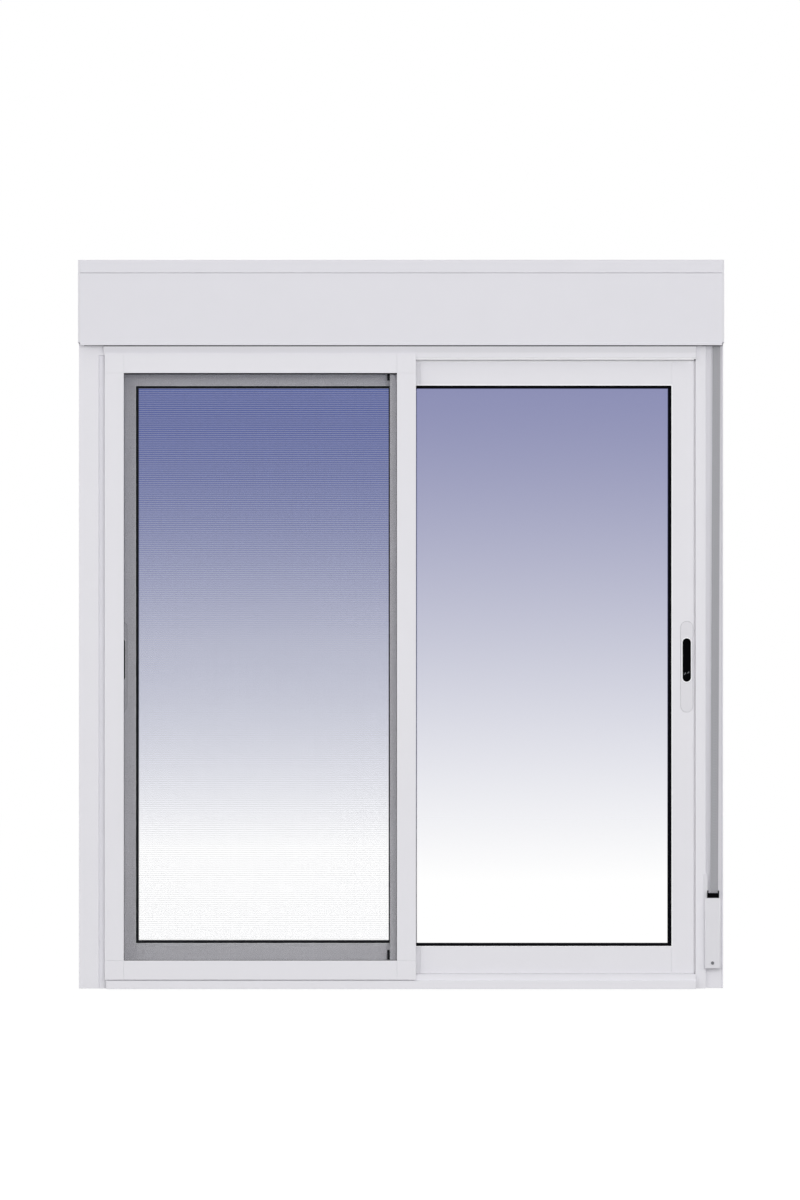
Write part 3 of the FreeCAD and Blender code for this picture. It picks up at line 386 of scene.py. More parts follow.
def black_abs(colours):
    """Glossy black plastic of the pull cups and the strap's mouth."""
    material, tree, shader, place = start_finish(
        "black_abs", colours.black, shade(colours.black, 1.8), 8.0,
        {"Roughness": 0.3, "Specular IOR Level": 0.03})
    bump(tree, shader, noise(tree, place, 1.5, detail=1.0), depth_mm=0.004)
    return material


def mesh_thread(colours):
    """Vinyl-coated glass fibre: dark grey thread with a dull sheen."""
    return start_finish(
        "glass_fibre_mesh", shade(colours.thread, 0.85), shade(colours.thread, 1.15), 4.0,
        {"Roughness": 0.6, "Specular IOR Level": 0.15})[0]


def polyester_webbing(colours):
    """Woven grey strap: dull, its light and dark yarns crossing in a check, coarse enough to show."""
    material, tree, shader = start_material("polyester_webbing")
    place = object_place(tree)
    check = add_node(tree, "ShaderNodeTexChecker", (), {
        "Scale": 2.0 / scene_sizes().rib_pitch,
        "Color1": (*shade(colours.webbing, 0.7), 1.0),
        "Color2": (*shade(colours.webbing, 1.3), 1.0),
    }, {"Vector": place})
    wear = tinted(tree, shade(WHITE, 0.9), WHITE, noise(tree, place, 0.9))
    worn = add_node(tree, "ShaderNodeMix", {"data_type": "RGBA", "blend_type": "MULTIPLY"},
                    {"Factor": 1.0}, {"A": check.outputs["Color"], "B": wear})
    tree.links.new(worn.outputs["Result"], shader.inputs["Base Color"])
    set_sockets(shader, {"Roughness": 0.85, "Sheen Weight": 0.2})
    bump(tree, shader, noise(tree, place, 0.35), depth_mm=0.05)
    return material


def zinc_steel(colours):
    """Zinc-plated steel, softly brushed."""
    return start_finish(
        "galvanised_steel", shade(colours.steel, 0.9), shade(colours.steel, 1.05), 1.5,
        {"Metallic": 1.0, "Roughness": 0.38})[0]


def painted_sky_glass(name, sky, top_share, clear_height, most_clear, power):
    """Starts glass that glows a painted reflection of a blue sky at its top, as emission, and fades to
    clear towards its foot.

    The share that stays clear rises down the pane as a power of the fall, up to a limit; as the
    pane has two faces, each carries one minus the root of that share. Gives the material with its
    tree, its shader, the height and the bent fall.
    """
    material, tree, shader = start_material(name)
    height = add_node(tree, "ShaderNodeSeparateXYZ", (), (), {"Vector": object_place(tree)}).outputs["Z"]
    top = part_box("right_sash_glass")[1][2]
    fall = add_node(
        tree, "ShaderNodeMapRange", {"clamp": True},
        {"From Min": top, "From Max": clear_height, "To Min": 0.0, "To Max": 1.0}, {"Value": height},
    ).outputs["Result"]
    bent = add_node(tree, "ShaderNodeMath", {"operation": "POWER"}, {1: power}, {0: fall}).outputs[0]
    clear = add_node(tree, "ShaderNodeMath", {"operation": "MULTIPLY_ADD"},
                     {1: top_share, 2: 1.0 - top_share}, {0: bent}).outputs[0]
    least = add_node(tree, "ShaderNodeMath", {"operation": "MINIMUM"},
                     {1: most_clear}, {0: clear}).outputs[0]
    face = add_node(tree, "ShaderNodeMath", {"operation": "POWER"}, {1: 0.5}, {0: least}).outputs[0]
    alpha = add_node(tree, "ShaderNodeMath", {"operation": "SUBTRACT"}, {0: 1.0}, {1: face}).outputs[0]
    tree.links.new(alpha, shader.inputs["Alpha"])
    # The pane emits the sky colour: a painted reflection that glows though the pane is no lamp.
    set_sockets(shader, {
        "Emission Color": (*sky, 1.0), "Emission Strength": 1.0, "Base Color": (*GLASS_TONE, 1.0),
        "Roughness": 0.04, "Specular IOR Level": 0.15})
    return material, tree, shader, height, bent


def double_glazing(colours):
    """The room-side pane: a painted reflection of a pale blue sky above, glowed in as emission, clear
    below.
    """
    return painted_sky_glass("double_glazing", colours.sky, colours.inner_top, colours.inner_clear,
                     most_clear=1.0, power=1.35)[0]


def screened_glazing(colours):
    """The pane behind the screen: a deeper painted sky reflection, crossed by fine level lines of painted
    reflection for the mesh's lit threads.

    The sky whitens down the pane and a painted glare grows with it, emission that stands for the bright
    ground behind washing over the mesh; the lines stay one pale grey, so they show light above and dark
    below. They stand about three threads apart, because single threads are too fine to show.
    """
    material, tree, shader, height, bent = painted_sky_glass(
        "double_glazing_screened", colours.deep_sky, colours.outer_top, colours.outer_clear,
        most_clear=0.3, power=2.07)
    # Painted glare: the sky glows brighter and whiter towards the pane's foot.
    glare = add_node(tree, "ShaderNodeMath", {"operation": "MULTIPLY_ADD"}, {1: PAINTED_GLARE, 2: 1.0}, {0: bent})
    washed = add_node(tree, "ShaderNodeVectorMath", {"operation": "SCALE"}, (), {
        0: tinted(tree, colours.deep_sky, WHITE, bent), "Scale": glare.outputs[0]})
    # Painted reflection: pale level lines of lit threads mixed into the glow.
    turn = add_node(tree, "ShaderNodeMath", {"operation": "MULTIPLY"},
                    {1: 2 * math.pi / scene_sizes().line_pitch}, {0: height}).outputs[0]
    wave = add_node(tree, "ShaderNodeMath", {"operation": "SINE"}, (), {0: turn}).outputs[0]
    strength = add_node(tree, "ShaderNodeMath", {"operation": "MULTIPLY_ADD"},
                        {1: PAINTED_LINE_STRENGTH, 2: PAINTED_LINE_STRENGTH}, {0: wave})
    lined = add_node(tree, "ShaderNodeMix", {"data_type": "RGBA"}, {"B": (*colours.mirrored, 1.0)},
                     {"A": washed.outputs["Vector"], "Factor": strength.outputs[0]})
    tree.links.new(lined.outputs["Result"], shader.inputs["Emission Color"])
    return material


# Making and dressing pieces

FINISHES = {}


def scene_sizes():
    """The sizes of this file."""
    return bpy.context.scene.window_sizes


def scene_colours():
    """The colours of this file."""
    return bpy.context.scene.window_colours


def finish(maker):
    """Gives the finish that a maker makes, made once."""
    if maker.__name__ not in FINISHES:
        FINISHES[maker.__name__] = maker(scene_colours())
    return FINISHES[maker.__name__]


def dress(names, material, edge=0.0):
    """Gives solids of the frame a finish and, where asked, softly rounded edges."""
    for name in names:
        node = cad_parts[name]
        node.data.materials.clear()
        node.data.materials.append(material)
        if edge > 0.0:
            soften(node, edge)


def soften(piece, edge):
    """Joins a solid's split corners and rounds its sharp edges."""
    weld = piece.modifiers.new("weld", "WELD")
    weld.merge_threshold = WELD_REACH
    bevel = piece.modifiers.new("edges", "BEVEL")
    bevel.width = edge
    bevel.segments = 2
    bevel.limit_method = "ANGLE"
    bevel.angle_limit = SHARP_ANGLE
    bevel.harden_normals = True


def new_piece(name, vertices, faces, material, replaced=(), smooth=False):
    """Makes a mesh piece that rides on the object, from arrays of vertices and of quads."""
    mesh = bpy.data.meshes.new(name)
    mesh.vertices.add(len(vertices))
    mesh.vertices.foreach_set("co", np.asarray(vertices, dtype=np.float32).ravel())
    faces = np.asarray(faces, dtype=np.int32)
    mesh.loops.add(faces.size)
    mesh.loops.foreach_set("vertex_index", faces.ravel())
    mesh.polygons.add(len(faces))
    mesh.polygons.foreach_set("loop_start", np.arange(0, faces.size, faces.shape[1], dtype=np.int32))
    mesh.polygons.foreach_set("use_smooth", np.full(len(faces), smooth))
    mesh.update(calc_edges=True)
    mesh.validate()
    mesh.materials.append(material)
    piece = bpy.data.objects.new(name, mesh)
    bpy.context.scene.collection.objects.link(piece)
    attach(piece, ROOT)
    if replaced:
        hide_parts(*replaced)
    return piece


# Corners of a box's six quads, each turned so that its face looks outwards.
BOX_QUADS = np.array([[1, 3, 2, 0], [6, 7, 5, 4], [4, 5, 1, 0], [3, 7, 6, 2], [2, 6, 4, 0], [5, 7, 3, 1]])


def boxes(lows, highs):
    """Vertices and quads of many boxes: each corner takes its low or high value on each axis."""
    lows = np.asarray(lows, dtype=float)
    highs = np.asarray(highs, dtype=float)
    pick = np.array([[i, j, k] for i in (0, 1) for j in (0, 1) for k in (0, 1)])
    corners = lows[:, None, :] + pick[None, :, :] * (highs - lows)[:, None, :]
    quads = BOX_QUADS[None, :, :] + 8 * np.arange(len(lows))[:, None, None]
    return corners.reshape(-1, 3), quads.reshape(-1, 4)


def side_by_side(*columns):
    """Stacks columns side by side; a single value fills its whole column."""
    return np.column_stack(np.broadcast_arrays(*columns))


def grid_quads(rows, columns, closed_columns=False):
    """Quads of a grid of vertices numbered row by row, whose last column may join its first."""
    start = np.arange(rows - 1)[:, None] * columns
    column = np.arange(columns if closed_columns else columns - 1)[None, :]
    after = (column + 1) % columns
    corners = [start + column, start + after, start + columns + after, start + columns + column]
    return np.stack(corners, axis=-1).reshape(-1, 4)


def thread_boxes():
    """Threads of the insect mesh as thin bars.

    Uprights stand one pitch apart across the opening and cross threads one pitch apart up it. All
    lie on the mesh's own middle plane.
    """
    sizes = scene_sizes()
    low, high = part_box("screen_mesh")
    left, right = low[0] + sizes.mesh_trim, high[0] - sizes.mesh_trim
    foot, top = low[2] + sizes.mesh_trim, high[2] - sizes.mesh_trim
    upright = np.arange(left, right, sizes.mesh_pitch)
    cross = np.arange(foot, top, sizes.mesh_pitch)
    half = sizes.thread / 2
    near, far = (low[1] + high[1]) / 2 - half, (low[1] + high[1]) / 2 + half
    lows = [side_by_side(upright - half, near, foot), side_by_side(left, near, cross - half)]
    highs = [side_by_side(upright + half, far, top), side_by_side(right, far, cross + half)]
    return boxes(np.concatenate(lows), np.concatenate(highs))


def ring_boxes(left, right, foot, top, widths, near, far):
    """Four bars round an opening, outside it, or inside it where a width is less than nought.

    Widths are those of the left, right, foot and top bars. The foot and top bars run to the outer
    corners and the upright ones stand between them.
    """
    wide_left, wide_right, wide_foot, wide_top = widths
    spans = [
        ((left - wide_left, foot), (left, top)),
        ((right, foot), (right + wide_right, top)),
        ((left - wide_left, foot - wide_foot), (right + wide_right, foot)),
        ((left - wide_left, top), (right + wide_right, top + wide_top)),
    ]
    lows = [[min(a[0], b[0]), near, min(a[1], b[1])] for a, b in spans]
    highs = [[max(a[0], b[0]), far, max(a[1], b[1])] for a, b in spans]
    return boxes(lows, highs)


def strip_surface(left, right, section):
    """A straight strip: a section of depths and heights, carried from left to right and closed.

    The section has six corners, three up the front and three down the back, each back one level
    with its front one, so that two quads close each end.
    """
    ring = np.array([[x, y, z] for x in (left, right) for y, z in section])
    count = len(section)
    after = [(i + 1) % count for i in range(count)]
    sides = [[i, i + count, after[i] + count, after[i]] for i in range(count)]
    ends = [[0, 1, 4, 5], [1, 2, 3, 4], [11, 10, 7, 6], [10, 9, 8, 7]]
    return ring, np.array(sides + ends)


def tuft_boxes(gaps, deep, pitch):
    """Tufts of a brush pile as thin bars in a row.

    A gap is its two x values, its two heights, the axis along which it runs, 0 or 2, and the depth
    at which its pile starts. Every other tuft is pulled back by a fifth of the pile's depth, so
    that the row reads as bristles.
    """
    lows, highs = [], []
    for x0, x1, z0, z1, axis, near in gaps:
        far = near + deep
        start, stop = (x0, x1) if axis == 0 else (z0, z1)
        along = np.arange(start, stop, pitch)
        front = near + deep / 5 * (np.arange(len(along)) % 2)
        ends = np.minimum(along + pitch, stop)
        if axis == 0:
            lows.append(side_by_side(along, front, z0))
            highs.append(side_by_side(ends, far, z1))
        else:
            lows.append(side_by_side(x0, front, along))
            highs.append(side_by_side(x1, far, ends))
    return boxes(np.concatenate(lows), np.concatenate(highs))


def webbing_surface():
    """The strap as a woven band.

    It leans evenly from the middle of its lower end to that of its upper one. Its section is a
    squared-off oval: the sine and the cosine of the turn round it, each to a small power. The front
    and back sink by the rib height times the square of two sines' product, whose phases run across
    the band one way and the other, so that the ribs cross in diamonds, and the edges are drawn in
    there by a fiftieth. The points stand half a step off the edges, so that quads between the front
    and the back close each end.
    """
    sizes = scene_sizes()
    low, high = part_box("strap")
    lean = (high[0] - low[0]) - STRAP_WIDTH
    rows = int((high[2] - low[2]) / (sizes.rib_pitch / 4))
    around, squareness = 56, 0.35
    along = np.linspace(0.0, 1.0, rows)[:, None]
    turn = ((np.arange(around) + 0.5) * 2 * math.pi / around)[None, :]
    across = np.sign(np.cos(turn)) * np.abs(np.cos(turn)) ** squareness
    out = np.sign(np.sin(turn)) * np.abs(np.sin(turn)) ** squareness
    height = low[2] + along * (high[2] - low[2])
    half_wide = STRAP_WIDTH / 2
    lead = across * half_wide / sizes.rib_pitch
    phase = height / sizes.rib_pitch
    rib = (np.sin(math.pi * (phase + lead)) * np.sin(math.pi * (phase - lead))) ** 2
    half_thick = (high[1] - low[1]) / 2 - sizes.rib_height * rib
    x = low[0] + half_wide + along * lean + across * half_wide * (1.0 - 0.02 * rib)
    y = (low[1] + high[1]) / 2 + out * half_thick
    vertices = np.stack(np.broadcast_arrays(x, y, height), axis=-1).reshape(-1, 3)
    step = np.arange(around // 2 - 1)
    end = np.column_stack([step, around - 1 - step, around - 2 - step, step + 1])
    last = (rows - 1) * around
    return vertices, np.concatenate([
        grid_quads(rows, around, closed_columns=True), end, end[:, ::-1] + last])


def slot_path(low, high, count):
    """Points and outward directions round an upright slot with half-round ends.

    Both go round counter-clockwise: each end's points stand a radius from its centre, along the
    direction's cosine and sine.
    """
    radius = (high[0] - low[0]) / 2
    middle = (high[0] + low[0]) / 2
    angle = np.linspace(0.0, 2 * math.pi, count, endpoint=False)
    outward = np.column_stack([np.cos(angle), np.sin(angle)])
    centre_z = np.where(outward[:, 1] > 0, high[2] - radius, low[2] + radius)
    points = np.column_stack([middle + radius * outward[:, 0], centre_z + radius * outward[:, 1]])
    return points, outward


def slot_rim(low, high, face, width, height):
    """A bead round an upright slot.

    A half-round section, whose offset from the slot grows with one minus the cosine and whose rise
    with the sine of its turn, is closed at its back and carried round the slot's outline.
    """
    points, outward = slot_path(low, high, 64)
    turn = np.linspace(0.0, math.pi, 9)
    offset = width / 2 * (1 - np.cos(turn))
    rise = height * np.sin(turn)
    x = points[:, None, 0] + outward[:, None, 0] * offset[None, :]
    z = points[:, None, 1] + outward[:, None, 1] * offset[None, :]
    y = np.broadcast_to(face - rise[None, :], x.shape)
    vertices = np.stack([x, y, z], axis=-1).reshape(-1, 3)
    count, section = x.shape
    return vertices, grid_quads(count + 1, section, closed_columns=True) % (count * section)


# Operators

class PieceOperator(bpy.types.Operator):
    """Shared ground of the operators that make or dress pieces."""

    bl_options = {"REGISTER", "UNDO"}


class WINDOW_OT_bars(PieceOperator):
    """Lacquer the outer frame, both sashes, the screen's bars and the shutter guides"""

    bl_idname = "window_part.bars"
    bl_label = "Lacquered bars"

    def execute(self, context):
        material = finish(lacquered_aluminium)
        frame_bars = ["frame_jamb_left", "frame_jamb_right", "frame_head", "frame_sill"]
        sash_bars = [
            f"{sash}_sash_{bar}" for sash in ("left", "right")
            for bar in ("top_rail", "bottom_rail", "outer_stile", "meeting_stile")
        ]
        screen_bars = [f"screen_{bar}" for bar in ("top_rail", "bottom_rail", "left_stile", "right_stile")]
        guides = ["shutter_guide_left", "shutter_guide_right", "shutter_end_slat", "shutter_roll"]
        dress(frame_bars + sash_bars + screen_bars + guides, material, context.scene.window_sizes.edge)
        return {"FINISHED"}


class WINDOW_OT_box(PieceOperator):
    """Cover the shutter box in its foil and its end caps in moulded plastic"""

    bl_idname = "window_part.box"
    bl_label = "Shutter box"

    def execute(self, context):
        sizes = context.scene.window_sizes
        foil = finish(box_foil)
        dress(["box_top_panel", "box_front_cover", "box_rear_cover", "box_floor"], foil, sizes.edge)
        caps = finish(moulded_abs)
        dress(["box_end_cap_left", "box_end_cap_right", "strap_pulley"], caps, sizes.edge)
        dress(["shutter_axle"], finish(zinc_steel))
        dress(["shutter_stops"], finish(epdm_rubber), sizes.trim_edge)
        (left, face, _), (right, _, level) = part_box("frame_head")
        left -= STRIP_OVERRUN
        self.add_joint_strip(sizes, left, right, face, level)
        self.add_painted_shade_line(sizes, left, right, face, level)
        self.add_head_lip_bead(sizes)
        self.add_jamb_cover(sizes, left, level)
        return {"FINISHED"}

    def add_joint_strip(self, sizes, left, right, face, level):
        """Adds the strip below the box, nearly flush at its foot and leaning out above its bend."""
        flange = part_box("frame_jamb_left")[0][1] + FLANGE_RECESS
        foot, bend, top = level - sizes.strip_foot, level - sizes.strip_bend, level - sizes.strip_top
        section = [(face - CLEAR, foot), (face - BEND_STAND, bend), (face - sizes.strip_front, top),
                   (flange, top), (flange, bend), (flange, foot)]
        vertices, quads = strip_surface(left, right, section)
        new_piece("joint_strip", vertices, quads, finish(lacquered_aluminium))

    def add_painted_shade_line(self, sizes, left, right, face, level):
        """Adds a black line between strip and box that stands for the shadow under the box: painted shade.
        Its foot stands higher over the two jambs.
        """
        near = face - sizes.strip_front + SHADE_LINE_SET_BACK
        far, foot, ceiling = near + SHADE_LINE_DEPTH, level - sizes.strip_top, level - CLEAR
        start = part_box("frame_jamb_left")[0][0] + SHADE_LINE_INSETS[0]
        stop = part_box("frame_jamb_right")[1][0] - SHADE_LINE_INSETS[1]
        vertices, quads = boxes(
            [[start, near, foot + SHADE_LINE_RISES[0]], [left, near, foot], [right, near, foot + SHADE_LINE_RISES[1]]],
            [[left, far, ceiling], [right, far, ceiling], [stop, far, ceiling]])
        # The black rubber here is painted shade under the box.
        new_piece("box_shade_line", vertices, quads, finish(epdm_rubber))

    def add_head_lip_bead(self, sizes):
        """Adds the bead of painted highlight along the lower edge of the head's face."""
        (left, face, fin_foot), (right, _, _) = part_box("frame_head")
        foot = fin_foot + FIN_REACH
        vertices, quads = boxes([[left, face - sizes.bead_rise, foot + CLEAR]],
                                [[right, face + LIP_SINK, foot + sizes.lip_bead]])
        bead = new_piece("head_lip_bead", vertices, quads, finish(painted_highlight_bead))
        soften(bead, FINE_EDGE)

    def add_jamb_cover(self, sizes, strip_left, level):
        """Adds the flat cover on the left jamb's flange, whose top reaches over to the strip."""
        outer, leg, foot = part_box("frame_jamb_left")[0]
        flange, stand, reach = leg + FLANGE_RECESS, leg - sizes.cover_stand, outer + sizes.cover_width
        top = level - COVER_GAP
        vertices, quads = boxes(
            [[outer + COVER_INSET, stand, foot + COVER_GAP],
             [reach - COVER_LAP, stand, level - sizes.strip_foot + COVER_STEP]],
            [[reach, flange, top], [strip_left + SINK, leg, top]])
        cover = new_piece("jamb_cover", vertices, quads, finish(lacquered_aluminium))
        soften(cover, sizes.edge)


class WINDOW_OT_glazing(PieceOperator):
    """Glaze both sashes with panes that glow a painted sky reflection, bed the panes in black rubber and
    add the seal stubs
    """

    bl_idname = "window_part.glazing"
    bl_label = "Glazing"

    def execute(self, context):
        dress(["right_sash_glass"], finish(double_glazing))
        dress(["left_sash_glass"], finish(screened_glazing))
        sizes = context.scene.window_sizes
        rubber = finish(epdm_rubber)
        dress(["left_sash_gasket"], rubber)
        self.add_pane_seal(sizes, rubber)
        self.add_seal_stubs(sizes, rubber)
        self.add_beads(sizes)
        self.add_top_bead(sizes)
        return {"FINISHED"}

    def add_pane_seal(self, sizes, rubber):
        """Adds the room-side pane's rubber, which shows more at its right than at its left."""
        low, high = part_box("right_sash_gasket")
        glass_low, glass_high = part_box("right_sash_glass")
        left, right = low[0] + REBATE + sizes.sight_left, high[0] - REBATE - sizes.sight_right
        foot, top = low[2] + REBATE + sizes.sight_foot, high[2] - REBATE - sizes.sight_top
        sights = (sizes.sight_left, sizes.sight_right, sizes.sight_foot, sizes.sight_top)
        widths = [sight + SEAL_TUCK for sight in sights]
        front = ring_boxes(left, right, foot, top, widths, low[1], glass_low[1])
        back = ring_boxes(left, right, foot, top, widths, glass_high[1], high[1])
        vertices = np.concatenate([front[0], back[0]])
        quads = np.concatenate([front[1], back[1] + len(front[0])])
        new_piece("pane_seal", vertices, quads, rubber, ["right_sash_gasket"])

    def add_beads(self, sizes):
        """Adds the bead of painted highlight round the room side of each pane."""
        for sash, drawn_in in BEADS_DRAWN_IN.items():
            low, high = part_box(f"{sash}_sash_gasket")
            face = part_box(f"{sash}_sash_top_rail")[0][1]
            left, right, foot, top = (inward * MM for inward in drawn_in)
            vertices, quads = ring_boxes(
                low[0] + REBATE + left, high[0] - REBATE - right,
                low[2] + REBATE + foot, high[2] - REBATE - top,
                [sizes.bead_width] * 4, face - sizes.bead_rise, face + SINK)
            bead = new_piece(f"{sash}_glazing_bead", vertices, quads, finish(painted_highlight_bead))
            soften(bead, FINE_EDGE)

    def add_top_bead(self, sizes):
        """Adds the bead of painted highlight along the top of the right sash."""
        left, face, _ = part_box("right_sash_meeting_stile")[0]
        right, _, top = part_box("right_sash_outer_stile")[1]
        vertices, quads = boxes([[left + TOP_BEAD_INSET, face - sizes.top_bead, top - sizes.top_bead]],
                                [[right - TOP_BEAD_INSET, face + SINK, top - CLEAR]])
        bead = new_piece("right_sash_top_bead", vertices, quads, finish(painted_highlight_bead))
        soften(bead, FINE_EDGE)

    def add_seal_stubs(self, sizes, rubber):
        """Adds the two black stubs beside the screened sash's meeting stile."""
        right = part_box("left_sash_meeting_stile")[0][0] - sizes.seal_inset
        _, face, top_rail_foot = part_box("left_sash_top_rail")[0]
        foot_rail_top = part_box("left_sash_bottom_rail")[1][2]
        left, near, far = right - sizes.seal_width, face - STUB_STAND, face + STUB_SINK
        feet = (top_rail_foot + STUB_FROM_TOP_RAIL, foot_rail_top - STUB_FROM_FOOT_RAIL - sizes.seal_height)
        vertices, quads = boxes([[left, near, foot] for foot in feet],
                                [[right, far, foot + sizes.seal_height] for foot in feet])
        soften(new_piece("seal_stubs", vertices, quads, rubber), STUB_EDGE)


class WINDOW_OT_brush_seals(PieceOperator):
    """Stand a pale brush pile in the gaps round the room-side sash"""

    bl_idname = "window_part.brush_seals"
    bl_label = "Brush seals"

    def execute(self, context):
        sizes = context.scene.window_sizes
        left, front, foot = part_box("right_sash_meeting_stile")[0]
        right, _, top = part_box("right_sash_outer_stile")[1]
        head_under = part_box("frame_jamb_right")[1][2] - HEAD_HEIGHT
        head_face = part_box("frame_head")[0][1]
        vertices, quads = tuft_boxes(
            [
                (right, right + sizes.side_gap, foot, top, 2, front + sizes.pile_back),
                (left, right, top + sizes.lip_gap, head_under + sizes.lip_rise, 0, head_face + LIP_SINK),
                (left, right, foot - sizes.foot_gap, foot, 0, front + sizes.foot_pile_back),
            ],
            sizes.pile_depth, sizes.pile_pitch)
        new_piece("brush_seals", vertices, quads, finish(brush_pile))
        return {"FINISHED"}


class WINDOW_OT_pulls(PieceOperator):
    """Finish the flush pulls, bead the edges of their slots in painted highlight and ring their plates in
    painted shade
    """

    bl_idname = "window_part.pulls"
    bl_label = "Flush pulls"

    def execute(self, context):
        sizes = context.scene.window_sizes
        white = finish(moulded_abs)
        black = finish(black_abs)
        for sash in ("left", "right"):
            dress([f"{sash}_sash_pull_plate"], white, sizes.trim_edge)
            dress([f"{sash}_sash_pull_cup"], black)
            plate_low, plate_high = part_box(f"{sash}_sash_pull_plate")
            cup_low, cup_high = np.array(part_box(f"{sash}_sash_pull_cup"))
            vertices, quads = slot_rim(cup_low + CUP_WALL, cup_high - CUP_WALL, plate_low[1],
                                       sizes.rim_width, sizes.rim_height)
            # The rim's lighter white is a painted highlight round the slot.
            rim = finish(painted_highlight_bead)
            new_piece(f"{sash}_pull_rim", vertices, quads, rim, smooth=True)
            # A black bead round the plate: painted shade for the shadow at its edge.
            vertices, quads = slot_rim(plate_low, plate_high, plate_high[1],
                                       sizes.plate_shade_line, sizes.plate_shade_line / 2)
            new_piece(f"{sash}_plate_shade_line", vertices, quads, black, smooth=True)
        self.add_latch_tabs(sizes.latch_tab)
        return {"FINISHED"}

    def add_latch_tabs(self, width):
        """Adds the small bright metal tabs that stand on the latch of each pull."""
        lows, highs = [], []
        for sash in ("left", "right"):
            low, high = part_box(f"{sash}_sash_pull_cup")
            latch = high[1] - LATCH_FACE
            for across, up, tall in LATCH_TABS:
                left = (low[0] + high[0]) / 2 + across * MM
                lows.append([left, latch - TAB_STAND, low[2] + up * MM])
                highs.append([left + width, latch, low[2] + (up + tall) * MM])
        vertices, quads = boxes(lows, highs)
        new_piece("latch_tabs", vertices, quads, finish(zinc_steel))


class WINDOW_OT_screen(PieceOperator):
    """Finish the screen's corners and weave the insect mesh"""

    bl_idname = "window_part.screen"
    bl_label = "Insect screen"

    def execute(self, context):
        sizes = context.scene.window_sizes
        dress(["screen_corners"], finish(corner_abs), sizes.edge)
        vertices, quads = thread_boxes()
        thread = finish(mesh_thread)
        mesh = new_piece("insect_mesh", vertices, quads, thread, ["screen_mesh"])
        self.add_shade_cord(sizes)
        return {"FINISHED"}

    def add_shade_cord(self, sizes):
        """Adds a black cord round the mesh's opening, widest under the top rail, that stands for the shade
        there: painted shade.
        """
        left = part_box("screen_left_stile")[1][0]
        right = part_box("screen_right_stile")[0][0]
        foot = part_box("screen_bottom_rail")[1][2]
        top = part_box("screen_top_rail")[0][2]
        low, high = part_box("screen_mesh")
        widths = [-sizes.shade_cord] * 3 + [-sizes.top_shade_cord]
        vertices, quads = ring_boxes(left, right, foot, top, widths,
                                     low[1] - SHADE_CORD_STAND, high[1] + SHADE_CORD_STAND)
        new_piece("mesh_shade_cord", vertices, quads, finish(epdm_rubber))


class WINDOW_OT_strap(PieceOperator):
    """Weave the strap and finish its recoiler"""

    bl_idname = "window_part.strap"
    bl_label = "Strap and recoiler"

    def execute(self, context):
        sizes = context.scene.window_sizes
        vertices, quads = webbing_surface()
        webbing = finish(polyester_webbing)
        new_piece("woven_strap", vertices, quads, webbing, ["strap"], smooth=True)
        dress(["recoiler_base", "recoiler_cover"], finish(moulded_abs), sizes.trim_edge)
        dress(["strap_mouth"], finish(black_abs), sizes.edge)
        self.add_mouth_ears(sizes.mouth_ear)
        dress(["recoiler_screw"], finish(zinc_steel), SCREW_EDGE)
        return {"FINISHED"}

    def add_mouth_ears(self, height):
        """Adds the two black ears that keep the strap in the middle of its mouth."""
        (left, near, _), (right, _, top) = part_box("strap_mouth")
        starts = (left, right - EAR_WIDTH)
        vertices, quads = boxes(
            [[start, near, top - EAR_SINK] for start in starts],
            [[start + EAR_WIDTH, near + EAR_DEPTH, top + height] for start in starts])
        soften(new_piece("mouth_ears", vertices, quads, finish(black_abs)), EAR_EDGE)


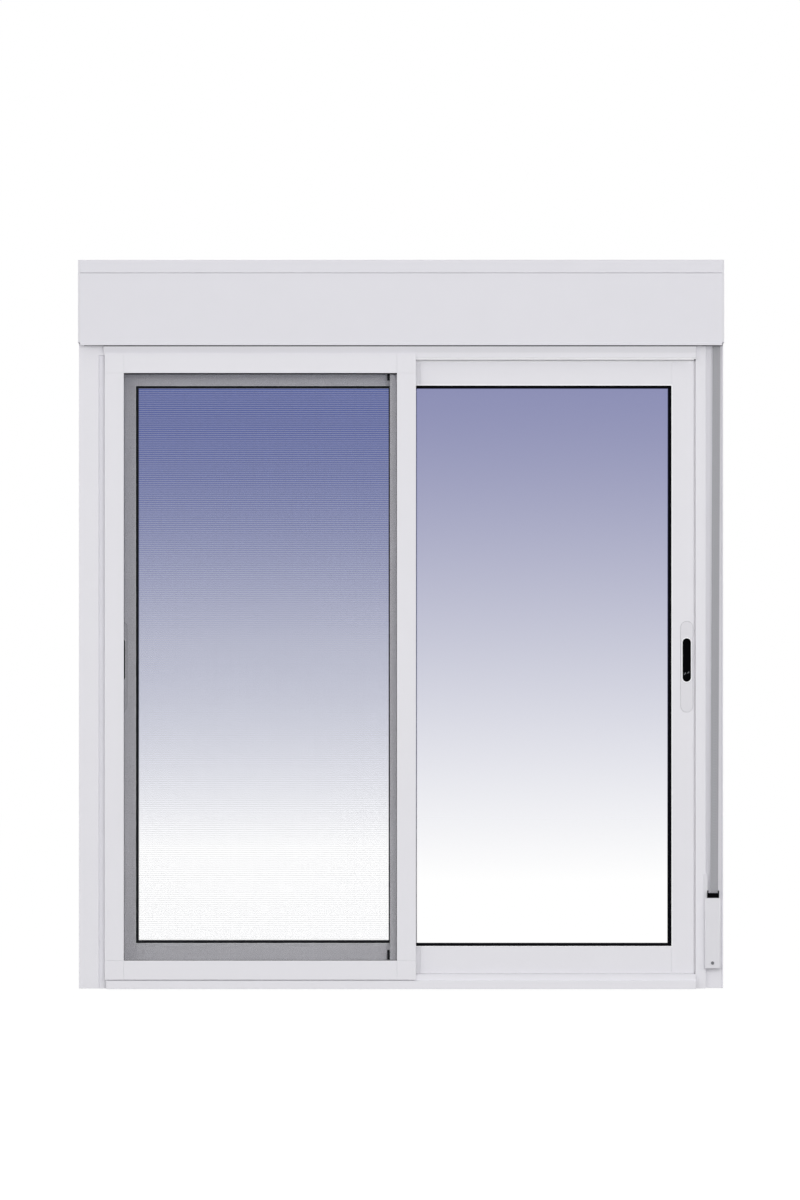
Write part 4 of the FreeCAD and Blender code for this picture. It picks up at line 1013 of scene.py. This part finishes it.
class WINDOW_OT_stage(PieceOperator):
    """Set the floor, the soft light and the camera"""

    bl_idname = "window_part.stage"
    bl_label = "Stage"

    sill_level: length("Sill above floor", "Height of the sill above the room's floor", 900.0)
    camera_distance: length("Camera distance", "From the camera to the frame's face", 10000.0)
    camera_height: length("Camera height", "Height of the camera over the sill's underside", 723.0)
    view_height: length("View height", "Height that the view takes in at the frame's face", 2233.3)

    def execute(self, context):
        self.add_floor()
        self.light_world(context.scene)
        for lamp in LAMPS:
            self.add_lamp(*lamp)
        self.add_camera(context.scene)
        context.scene.view_settings.view_transform = "Standard"
        return {"FINISHED"}

    def add_floor(self):
        """A plain pale floor below the window, drawn a little brighter to the camera alone."""
        material, tree, shader = start_material("pale_floor")
        set_sockets(shader, {
            "Base Color": (*FLOOR_TONE, 1.0), "Roughness": 0.9, "Specular IOR Level": 0.0,
            "Emission Color": (*WHITE, 1.0)})
        seen = add_node(tree, "ShaderNodeLightPath").outputs["Is Camera Ray"]
        strength = add_node(tree, "ShaderNodeMath", {"operation": "MULTIPLY"}, {1: FLOOR_GLOW}, {0: seen})
        tree.links.new(strength.outputs[0], shader.inputs["Emission Strength"])
        reach = FLOOR_REACH
        corners = [(-reach, -reach), (reach, -reach), (reach, reach), (-reach, reach)]
        mesh = bpy.data.meshes.new("floor")
        mesh.from_pydata([(x, y, -self.sill_level) for x, y in corners], [], [(0, 1, 2, 3)])
        mesh.materials.append(material)
        floor = bpy.data.objects.new("floor", mesh)
        bpy.context.scene.collection.objects.link(floor)

    def light_world(self, scene):
        """Even light from all round; what the camera, gloss and glass see of it is plain white."""
        world = bpy.data.worlds.new("studio")
        scene.world = world
        world.use_nodes = True
        tree = world.node_tree
        background = tree.nodes["Background"]
        background.inputs["Color"].default_value = (*WHITE, 1.0)
        path = add_node(tree, "ShaderNodeLightPath")
        camera_or_gloss = add_node(tree, "ShaderNodeMath", {"operation": "MAXIMUM"}, (), {
            0: path.outputs["Is Camera Ray"], 1: path.outputs["Is Glossy Ray"]})
        seen = add_node(tree, "ShaderNodeMath", {"operation": "MAXIMUM"}, (), {
            0: camera_or_gloss.outputs[0], 1: path.outputs["Is Transmission Ray"]})
        strength = add_node(tree, "ShaderNodeMapRange", (),
                            {"To Min": WORLD_LIGHT, "To Max": WORLD_SEEN}, {"Value": seen.outputs[0]})
        tree.links.new(strength.outputs["Result"], background.inputs["Strength"])

    def add_lamp(self, name, place, power, glossy):
        """A square soft lamp that looks at the middle of the window."""
        lamp = bpy.data.lights.new(name, "AREA")
        lamp.size = LAMP_SIZE
        lamp.energy = power
        item = bpy.data.objects.new(name, lamp)
        bpy.context.scene.collection.objects.link(item)
        item.location = place
        away = np.array(place) - np.array(LAMP_TARGET)
        item.rotation_euler = (
            math.atan2(math.hypot(away[0], away[1]), away[2]), 0.0, math.atan2(away[0], -away[1]))
        item.visible_camera = False
        item.visible_glossy = glossy

    def add_camera(self, scene):
        """A level camera straight in front of the window."""
        camera = bpy.data.cameras.new("camera")
        camera.sensor_fit = "VERTICAL"
        camera.sensor_height = SENSOR_HEIGHT
        camera.lens = camera.sensor_height * self.camera_distance / self.view_height
        item = bpy.data.objects.new("camera", camera)
        scene.collection.objects.link(item)
        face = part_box("frame_jamb_left")[0][1]
        item.location = (CAMERA_ASIDE, face - self.camera_distance, self.camera_height)
        item.rotation_euler = (math.radians(90), 0.0, 0.0)
        scene.camera = item


class WINDOW_PT_panel(bpy.types.Panel):
    """Lists the steps, sizes and colours of the window."""

    bl_label = "Sliding window"
    bl_idname = "WINDOW_PT_panel"
    bl_space_type = "VIEW_3D"
    bl_region_type = "UI"
    bl_category = "Window"

    def draw(self, context):
        for operator in OPERATORS:
            self.layout.operator(operator.bl_idname)
        for group in (context.scene.window_sizes, context.scene.window_colours):
            for name in group.__annotations__:
                self.layout.prop(group, name)


OPERATORS = (
    WINDOW_OT_bars,
    WINDOW_OT_box,
    WINDOW_OT_glazing,
    WINDOW_OT_brush_seals,
    WINDOW_OT_pulls,
    WINDOW_OT_screen,
    WINDOW_OT_strap,
    WINDOW_OT_stage,
)
CLASSES = (WindowSizes, WindowColours, *OPERATORS, WINDOW_PT_panel)


def register():
    """Registers the classes and ties the properties to the scene."""
    for item in CLASSES:
        bpy.utils.register_class(item)
    bpy.types.Scene.window_sizes = bpy.props.PointerProperty(type=WindowSizes)
    bpy.types.Scene.window_colours = bpy.props.PointerProperty(type=WindowColours)


def unregister():
    """Takes the properties and the classes away again."""
    del bpy.types.Scene.window_colours
    del bpy.types.Scene.window_sizes
    for item in reversed(CLASSES):
        bpy.utils.unregister_class(item)


def main():
    register()
    bpy.ops.window_part.bars()
    bpy.ops.window_part.box()
    bpy.ops.window_part.glazing()
    bpy.ops.window_part.brush_seals()
    bpy.ops.window_part.pulls()
    bpy.ops.window_part.screen()
    bpy.ops.window_part.strap()
    bpy.ops.window_part.stage()
    bpy.context.view_layer.update()


if __name__ == "__main__":
    main()
